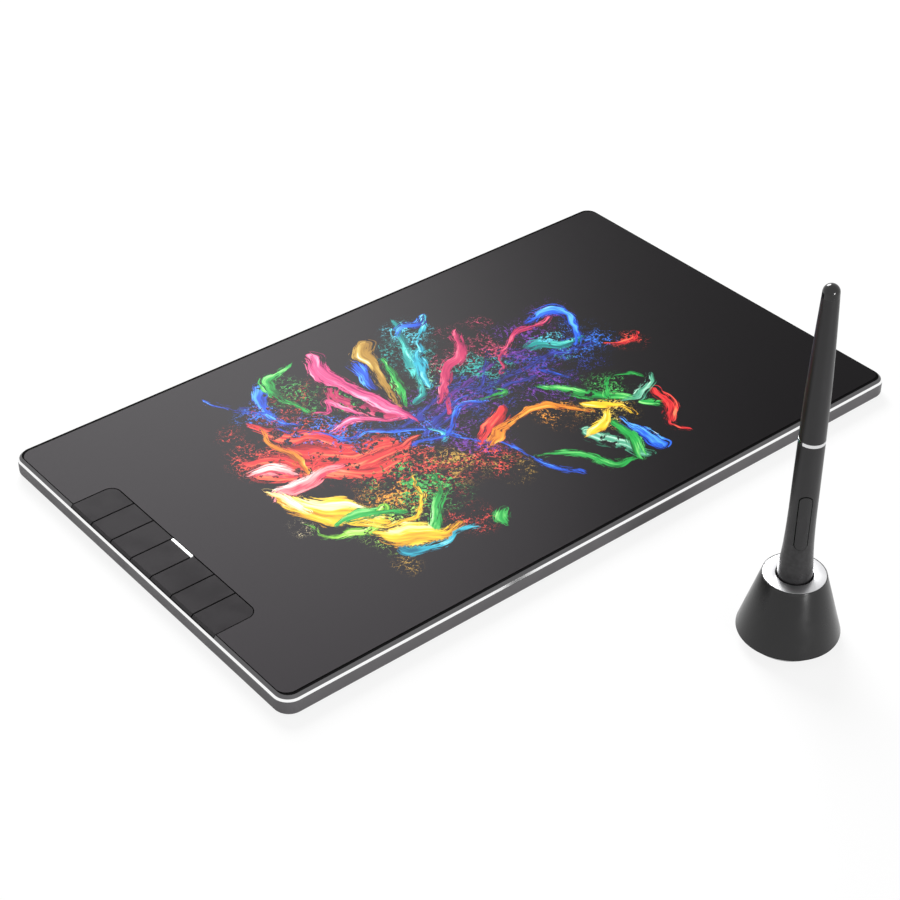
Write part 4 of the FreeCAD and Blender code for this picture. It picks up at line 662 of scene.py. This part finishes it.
def lay_paint(mesh):
    """Stores on each vertex, for each coat, how it lies in the tongue whose edge it is furthest inside:
    distance along, distance aside and distance in from the edge, with that tongue's paint. For each spray it
    stores how thick it lies and its paint."""
    place = np.empty(len(mesh.vertices) * 3)
    mesh.vertices.foreach_get("co", place)
    x, y = place[0::3] / MM, (place[1::3] - MIDDLE_Y) / MM
    shift_x = wander(x, y, 26, 0.9, 1) + wander(x, y, 8, 0.2, 2)
    shift_y = wander(x, y, 26, 0.9, 3) + wander(x, y, 8, 0.2, 4)
    x, y = x + shift_x, y + shift_y
    tones = {name: np.array(paint) for name, paint in PAINTS.items()}

    def store(name, values):
        kind, key = ("FLOAT_VECTOR", "vector") if name.startswith("lie") else ("FLOAT_COLOR", "color")
        if key == "color":
            values = np.concatenate((values, np.ones((len(values), 1))), axis=1)
        mesh.attributes.new(name, kind, "POINT").data.foreach_set(key, values.astype(np.float32).ravel())

    for coat, tongues in enumerate((FIRST_COAT, SECOND_COAT, THIRD_COAT)):
        best = np.full(x.shape, -FAR)
        lie = np.zeros((len(x), 3))
        paint = np.zeros((len(x), 3, 3))
        for number, (name, *places) in enumerate(tongues):
            line = middle_line(places)
            run = np.concatenate(((0.0,), np.cumsum(np.hypot(*np.diff(line[:, :2], axis=0).T))))
            gap = np.full(x.shape, FAR)
            along, aside, half = np.zeros((3, len(x)))
            for k in range(len(line) - 1):
                step = line[k + 1, :2] - line[k, :2]
                size = np.hypot(*step)
                t = np.clip(((x - line[k, 0]) * step[0] + (y - line[k, 1]) * step[1]) / size**2, 0, 1)
                dx, dy = x - line[k, 0] - t * step[0], y - line[k, 1] - t * step[1]
                off = np.hypot(dx, dy)
                near = off < gap
                gap = np.where(near, off, gap)
                along = np.where(near, run[k] + t * size, along)
                aside = np.where(near, np.sign(step[0] * dy - step[1] * dx) * off, aside)
                half = np.where(near, line[k, 2] + t * (line[k + 1, 2] - line[k, 2]), half)
            inside = half - gap
            here = inside > best
            best = np.where(here, inside, best)
            lie[here] = np.stack((along + APART * number, aside, inside), axis=1)[here]
            paint[here] = tones[name]
        store(f"lie_{coat}", lie)
        for shade in range(3):
            store(f"paint_{coat}_{shade}", paint[:, shade])
    for spray, clouds in enumerate((FIRST_SPRAY, SECOND_SPRAY)):
        best = np.zeros(x.shape)
        paint = np.zeros((len(x), 3))
        for name, middle_x, middle_y, radius, thick in clouds:
            cover = thick * np.exp(-2.2 * ((x - middle_x) ** 2 + (y - middle_y) ** 2) / radius**2)
            here = cover > best
            best = np.where(here, cover, best)
            paint[here] = tones[name][1] * 0.8 + tones[name][2] * 0.2
        store(f"lie_spray_{spray}", np.stack((best, best, best), axis=1))
        store(f"paint_spray_{spray}", paint)


def printed(name):
    """Black film with the print on it. Noise stretched along a tongue tears and frays its edge and folds its
    colour from deep to light, one side lighter than the other, and the first coat has burst into holes.
    Sprays are the level lines of noise, as fine threads, and small round drops."""
    f = Finish(name, (0.004, 0.0038, 0.004), 0.3, specular=0.032)

    def stored(attribute, output="Color"):
        return f.node("Attribute", attribute_name=attribute).outputs[output]

    colour = f.blend(f.noise(30.0, 2.0), (0.0038, 0.0034, 0.0038), (0.0042, 0.0038, 0.0042))
    swirl = f.node("TexNoise", {"Vector": f.place, "Scale": 1 / (3.0 * MM), "Detail": 3.0})
    flow = f.node("VectorMath", {0: swirl.outputs["Color"], "Scale": 1.6 * MM}, operation="SCALE")
    loose = f.vector("ADD", f.place, flow.outputs[0])
    for spray, size in ((0, 2.3), (1, 2.9)):
        thick = stored(f"lie_spray_{spray}", "Fac")
        paint = stored(f"paint_spray_{spray}")
        field = f.noise(size, 3.0, 0.55, place=loose)
        patch = f.noise(size * 4.0, 3.0)
        line = f.maths("ABSOLUTE", f.maths("SUBTRACT", field, 0.5))
        reach = f.maths("MULTIPLY", thick, f.ease(patch, 0.36, 0.6))
        thread = f.maths("SUBTRACT", f.maths("MULTIPLY", reach, 0.068), line)
        cells = f.node("TexVoronoi", {"Vector": loose, "Scale": 1 / (0.7 * size * MM)})
        drop = f.maths("SUBTRACT", f.maths("MULTIPLY", thick, 0.23), cells.outputs["Distance"])
        cover = f.maths("MAXIMUM", f.ease(thread, -0.006, 0.014), f.ease(drop, -0.03, 0.05))
        cover = f.maths("MULTIPLY", cover, f.ease(thick, 0.04, 0.16))
        shade = f.blend(f.ease(f.noise(1.4, 3.0), 0.35, 0.65), (0.2, 0.2, 0.2), (1.25, 1.25, 1.25))
        colour = f.blend(cover, colour, f.blend(1.0, paint, shade, "MULTIPLY"))
    for coat in range(3):
        lie = f.node("SeparateXYZ", {0: stored(f"lie_{coat}", "Vector")})
        along, aside, inside = lie.outputs
        drawn = (f.maths("MULTIPLY", along, 0.055), f.maths("MULTIPLY", aside, 0.5), coat * 5.0)
        strand = f.node("CombineXYZ", dict(enumerate(drawn))).outputs[0]
        tear = f.node("TexNoise", {"Vector": strand, "Scale": 1.0, "Detail": 6.0, "Roughness": 0.68})
        fold = f.node("TexNoise", {"Vector": strand, "Scale": 0.9, "Detail": 5.0, "Distortion": 0.1})
        hair = f.node("TexNoise", {"Vector": strand, "Scale": 4.5, "Detail": 2.0})
        ragged = f.maths("MULTIPLY", f.maths("SUBTRACT", tear.outputs["Fac"], 0.49), 11.0)
        frayed = f.maths("MULTIPLY", f.maths("SUBTRACT", hair.outputs["Fac"], 0.5), 6.0)
        depth = f.maths("ADD", inside, f.maths("ADD", ragged, frayed))
        cover = f.ease(depth, -0.12, 0.3)
        if coat == 0:
            whole = f.ease(f.noise(6.5, 5.0, 0.62, place=loose), 0.43, 0.46)
            cover = f.maths("MULTIPLY", cover, whole)
        tone = f.maths("ADD", fold.outputs["Fac"], f.ease(depth, 0.0, 1.6, -0.12, 0.03))
        tone = f.maths("ADD", tone, f.ease(aside, -3.0, 3.0, -0.08, 0.08))
        body = f.blend(f.ease(tone, 0.3, 0.52), stored(f"paint_{coat}_0"), stored(f"paint_{coat}_1"))
        body = f.blend(f.ease(tone, 0.52, 0.7), body, stored(f"paint_{coat}_2"))
        body = f.blend(f.ease(tone, 0.7, 0.82, 0.0, 0.7), body, (1.0, 1.0, 1.0))
        colour = f.blend(cover, colour, body)
    matt = f.relief(f.noise(0.25, 3.0), 0.006)
    return f.set(Base_Color=colour, Specular_Tint=(1.0, 0.88, 1.0), Normal=matt)


film = dress("drawing_film", film_mesh(), printed("sheet_film"), bevel=0.08 * MM)
lay_paint(film.data)
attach(film, "tablet")
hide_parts("drawing_sheet")

# ---------------------------------------------------------------- stylus
# Two satin black barrels screwed together at a bright ring, with a nose, a rounded glossy end and a two-way
# switch let into the side. Inside are the spine, board, coil and pressure cell.

GRIP_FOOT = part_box("pen_front_barrel")[0].z + 6 * MM
GRIP_TOP = GRIP_FOOT + 24 * MM


def satin(name, colour, roughness, specular, low, high):
    """Satin moulding with a very fine grain, rubbed paler and smoother between two heights."""
    f = Finish(name, colour, roughness, specular=specular)
    cloud = f.blend(f.noise(7.0, 3.0), times(colour, 0.85), times(colour, 1.15))
    height = f.node("SeparateXYZ", {0: f.place}).outputs[2]
    fade = (high - low) * 0.3
    rubbed = f.maths("MULTIPLY", f.ease(height, low, low + fade), f.ease(height, high + fade, high))
    rubbed = f.maths("MULTIPLY", rubbed, f.ease(f.noise(1.6, 4.0), 0.35, 0.7))
    worn = tuple(c * 1.6 + 0.003 for c in colour)
    smear = f.ease(f.noise(11.0, 4.0, 0.6), 0.35, 0.7, roughness - 0.04, roughness + 0.04)
    rough = f.maths("SUBTRACT", smear, f.maths("MULTIPLY", rubbed, 0.08))
    grain = f.relief(f.noise(0.22, 2.0), 0.003)
    return f.set(Base_Color=f.blend(rubbed, cloud, worn), Roughness=rough, Normal=grain)


pen_plastic = satin("pen_plastic", (0.014, 0.0133, 0.0142), 0.34, 0.36, GRIP_FOOT, GRIP_TOP)
pen_cap_plastic = satin("pen_cap_plastic", (0.006, 0.006, 0.0065), 0.14, 0.5, GRIP_FOOT, GRIP_TOP)
rocker_plastic = moulded(
    "rocker_plastic", (0.0125, 0.012, 0.0128), 0.34, grain=0.2, depth=0.003, wear=1.9, specular=0.4
)
bright_ring = metal("bright_ring", (0.75, 0.75, 0.76), 0.12, streak=(1.0, 1.0, 8.0))
for name in ("pen_nose", "pen_front_barrel", "pen_rear_barrel"):
    finish_cad(name, pen_plastic)
finish_cad("pen_rocker", rocker_plastic)
finish_cad("pen_end_cap", pen_cap_plastic)
finish_cad("pen_ring", bright_ring)
finish_cad("pen_chassis", moulded("spine_plastic", (0.1, 0.1, 0.1)))
finish_cad("pen_board", circuit_board)
finish_cad("pen_switches", switch_steel)
finish_cad("pen_coil", metal("coil_copper", (0.72, 0.34, 0.16), 0.3, streak=(1.0, 1.0, 12.0)))
finish_cad("pen_ferrite", moulded("ferrite", (0.06, 0.055, 0.055), 0.6))
finish_cad("pen_pressure_cell", moulded("cell_plastic", (0.75, 0.73, 0.68), 0.4, wear=1.1))
finish_cad("pen_rocker_pin", port_steel)
nib_plastic = moulded("nib_plastic", (0.03, 0.03, 0.03), 0.3)
finish_cad("pen_nib", nib_plastic)

# ---------------------------------------------------------------- stand
# Weighted cone moulded in satin black, with a polished ring let into its top round a soft cup. It screws to
# a black base whose foot is cut back, and a rubber disc under that keeps it in place.

low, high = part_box("stand_cone")
STAND_X, STAND_Y = (low.x + high.x) / 2, (low.y + high.y) / 2
STAND_TOP = high.z
CONE_FOOT = low.z
CONE_RADIUS, NECK_RADIUS = 19.75 * MM, 12.25 * MM
MOUTH_RADIUS = 7.0 * MM
CONE_WALL = 1.8 * MM
RIM = 0.3 * MM  # of the cone, left outside the ring
RING_SEAT = STAND_TOP - 1.2 * MM
FOOT_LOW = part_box("stand_base")[0].z
AROUND = 192
ROUND_POINTS = 5


def soften(corners):
    """Closed section with its corners rounded. A corner (radius, height, round) becomes a parabola that
    leaves one side at the distance round from the corner and meets the other side at the same distance."""
    ends = np.array(corners, dtype=float)
    here, size = ends[:, :2], ends[:, 2:]
    back = np.roll(here, 1, axis=0) - here
    ahead = np.roll(here, -1, axis=0) - here
    first = here + back / np.linalg.norm(back, axis=1, keepdims=True) * size
    last = here + ahead / np.linalg.norm(ahead, axis=1, keepdims=True) * size
    t = np.linspace(0, 1, ROUND_POINTS)[None, :, None]
    curve = first[:, None] * (1 - t) ** 2 + here[:, None] * 2 * t * (1 - t) + last[:, None] * t**2
    return curve.reshape(-1, 2)


def turned(name, corners, material):
    """Surface of revolution about the stand's axis: x = r cos a, y = r sin a, z = h for each corner of the
    rounded section and each angle."""
    section = soften(corners)
    angle = np.linspace(0, 2 * math.pi, AROUND, endpoint=False)
    ring_x = STAND_X + section[:, :1] * np.cos(angle)
    ring_y = STAND_Y + section[:, :1] * np.sin(angle)
    rings = np.stack((ring_x, ring_y, np.broadcast_to(section[:, 1:], ring_x.shape)), axis=-1)
    return skin(name, rings, material)


def polished(name, colour, roughness):
    """Turned and polished metal: the tool's fine circles about the stand's axis, and faint hazing."""
    f = Finish(name, colour, roughness, metallic=1.0)
    away = f.vector("SUBTRACT", f.place, (STAND_X, STAND_Y, 0.0))
    flat = f.vector("LENGTH", f.vector("MULTIPLY", away, (1.0, 1.0, 0.0)))
    cuts = {"W": flat, "Scale": 1 / (0.09 * MM), "Detail": 3.0}
    circles = f.node("TexNoise", cuts, noise_dimensions="1D").outputs["Fac"]
    haze = f.ease(f.noise(9.0, 2.0), 0.3, 0.7, roughness * 0.92, roughness * 1.1)
    tint = f.blend(f.noise(9.0, 2.0), times(colour, 0.97), colour)
    return f.set(Base_Color=tint, Roughness=haze, Normal=f.relief(circles, 0.0005))


roof = RING_SEAT - 1.2 * MM
slope = (CONE_RADIUS - NECK_RADIUS) / (STAND_TOP - CONE_FOOT)
cup_hole = MOUTH_RADIUS + 1.45 * MM
cup_ledge = RING_SEAT - 0.6 * MM
cone_section = (
    (CONE_RADIUS - CONE_WALL, CONE_FOOT, 0.1 * MM),
    (CONE_RADIUS, CONE_FOOT, 0.12 * MM),
    (NECK_RADIUS, STAND_TOP, 0.12 * MM),
    (NECK_RADIUS - RIM, STAND_TOP, 0.08 * MM),
    (NECK_RADIUS - RIM, RING_SEAT, 0.02 * MM),
    (cup_hole + 1.2 * MM, RING_SEAT, 0.05 * MM),
    (cup_hole + 1.2 * MM, cup_ledge, 0.02 * MM),
    (cup_hole, cup_ledge, 0.05 * MM),
    (cup_hole, roof, 0.05 * MM),
    (NECK_RADIUS + slope * (STAND_TOP - roof) - CONE_WALL, roof, 0.5 * MM),
)
ring_section = (
    (MOUTH_RADIUS, RING_SEAT, 0.05 * MM),
    (NECK_RADIUS - 0.35 * MM, RING_SEAT, 0.05 * MM),
    (NECK_RADIUS - 0.35 * MM, STAND_TOP, 0.12 * MM),
    (MOUTH_RADIUS + 0.3 * MM, STAND_TOP, 0.12 * MM),
    (MOUTH_RADIUS, STAND_TOP - 0.3 * MM, 0.12 * MM),
)
stand_satin = satin("stand_gloss", (0.006, 0.0058, 0.0062), 0.24, 0.42, STAND_TOP - 1.2 * MM, STAND_TOP)
cone = turned("stand_cone_turned", cone_section, stand_satin)
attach(cone, "stand_body")
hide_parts("stand_cone")
ring = turned("stand_ring_turned", ring_section, polished("ring_polish", (0.6, 0.6, 0.61), 0.3))
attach(ring, "stand_body")
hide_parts("stand_ring")
finish_cad("stand_base", satin("foot_black", (0.003, 0.003, 0.003), 0.3, 0.06, FOOT_LOW, CONE_FOOT))
finish_cad("stand_socket", rubber("socket_rubber", (0.012, 0.012, 0.013)))
finish_cad("stand_weight", metal("weight_steel", (0.25, 0.25, 0.26), 0.5))
finish_cad("stand_pad", foot_rubber)
finish_cad("nib_tray", moulded("tray_plastic", (0.14, 0.14, 0.14)))
finish_cad("spare_nibs", nib_plastic)
finish_cad("nib_puller", port_steel)
finish_cad("stand_screws", screw_steel)

# ---------------------------------------------------------------- floor, lamps and camera
# White desk and an even white surround, with one large soft lamp high at the rear right and a small low one
# in front of the stand.

FLOOR_HALF = 3.0
corners = [(FLOOR_HALF * x, FLOOR_HALF * y, 0) for x, y in ((-1, -1), (1, -1), (1, 1), (-1, 1))]
mesh = bpy.data.meshes.new("desk")
mesh.from_pydata(corners, [], [(0, 1, 2, 3)])
desk = bpy.data.objects.new("desk", mesh)
bpy.context.scene.collection.objects.link(desk)


def seen_white(tree, out, lit_shader, white_share):
    """White to the camera and in reflections, by white_share, and lit_shader's own look otherwise."""
    rays = tree.nodes.new("ShaderNodeLightPath").outputs
    seen = rays["Is Camera Ray"]
    for kind in ("Is Glossy Ray", "Is Transmission Ray"):
        either = tree.nodes.new("ShaderNodeMath")
        either.operation = "MAXIMUM"
        tree.links.new(seen, either.inputs[0])
        tree.links.new(rays[kind], either.inputs[1])
        seen = either.outputs[0]
    share = tree.nodes.new("ShaderNodeMath")
    share.operation = "MULTIPLY"
    tree.links.new(seen, share.inputs[0])
    share.inputs[1].default_value = white_share
    glow = "Emission" if out.bl_idname == "ShaderNodeOutputMaterial" else "Background"
    white = tree.nodes.new("ShaderNode" + glow)
    white.inputs["Color"].default_value = (1.0, 1.0, 1.0, 1.0)
    mix = tree.nodes.new("ShaderNodeMixShader")
    tree.links.new(share.outputs[0], mix.inputs[0])
    tree.links.new(lit_shader.outputs[0], mix.inputs[1])
    tree.links.new(white.outputs[0], mix.inputs[2])
    tree.links.new(mix.outputs[0], out.inputs[0])


desk_white = bpy.data.materials.new("desk_white")
desk_white.use_nodes = True
tree = desk_white.node_tree
tree.nodes.remove(tree.nodes["Principled BSDF"])
chalk = tree.nodes.new("ShaderNodeBsdfDiffuse")
chalk.inputs[0].default_value = (0.9, 0.9, 0.9, 1.0)
seen_white(tree, tree.nodes["Material Output"], chalk, 0.86)  # the rest keeps the shadows
mesh.materials.append(desk_white)

world = bpy.data.worlds.new("studio")
bpy.context.scene.world = world
world.use_nodes = True
tree = world.node_tree
surround = tree.nodes["Background"]
surround.inputs["Color"].default_value = (1.0, 1.0, 1.0, 1.0)
surround.inputs["Strength"].default_value = 0.4
seen_white(tree, tree.nodes["World Output"], surround, 1.0)


def softbox(name, aim, toward, distance, size, power):
    """Round area lamp that far from what it lights, in that direction from it, and turned to face it."""
    lamp = bpy.data.lights.new(name, "AREA")
    lamp.shape = "DISK"
    lamp.size = size
    lamp.energy = power
    box = bpy.data.objects.new(name, lamp)
    way = Vector(toward).normalized()
    box.location = Vector(aim) + way * distance
    box.rotation_mode = "QUATERNION"
    box.rotation_quaternion = way.to_track_quat("Z", "Y")
    box.visible_camera = False
    bpy.context.scene.collection.objects.link(box)


softbox("key_lamp", (0, 0, 0), (0.295, 0.702, 0.648), 1.8, 1.08, 46.5)
softbox("front_lamp", (STAND_X, STAND_Y, 0), (-0.14, -0.975, 0.15), 1.3, 0.3, 9.0)

CAMERA_PLACE = (-0.45653, -0.49717, 0.51686)
CAMERA_AIM = (-0.01979, 0.034715, 0.00835)
LENS_MM = 81.41
camera = bpy.data.cameras.new("camera")
camera.lens = LENS_MM
camera.sensor_width = 36.0
camera.clip_start = 0.01
camera.clip_end = 20.0
viewer = bpy.data.objects.new("camera", camera)
viewer.location = CAMERA_PLACE
viewer.rotation_mode = "QUATERNION"
viewer.rotation_quaternion = (Vector(CAMERA_PLACE) - Vector(CAMERA_AIM)).to_track_quat("Z", "Y")
bpy.context.scene.collection.objects.link(viewer)
bpy.context.scene.camera = viewer
bpy.context.scene.view_settings.view_transform = "Standard"
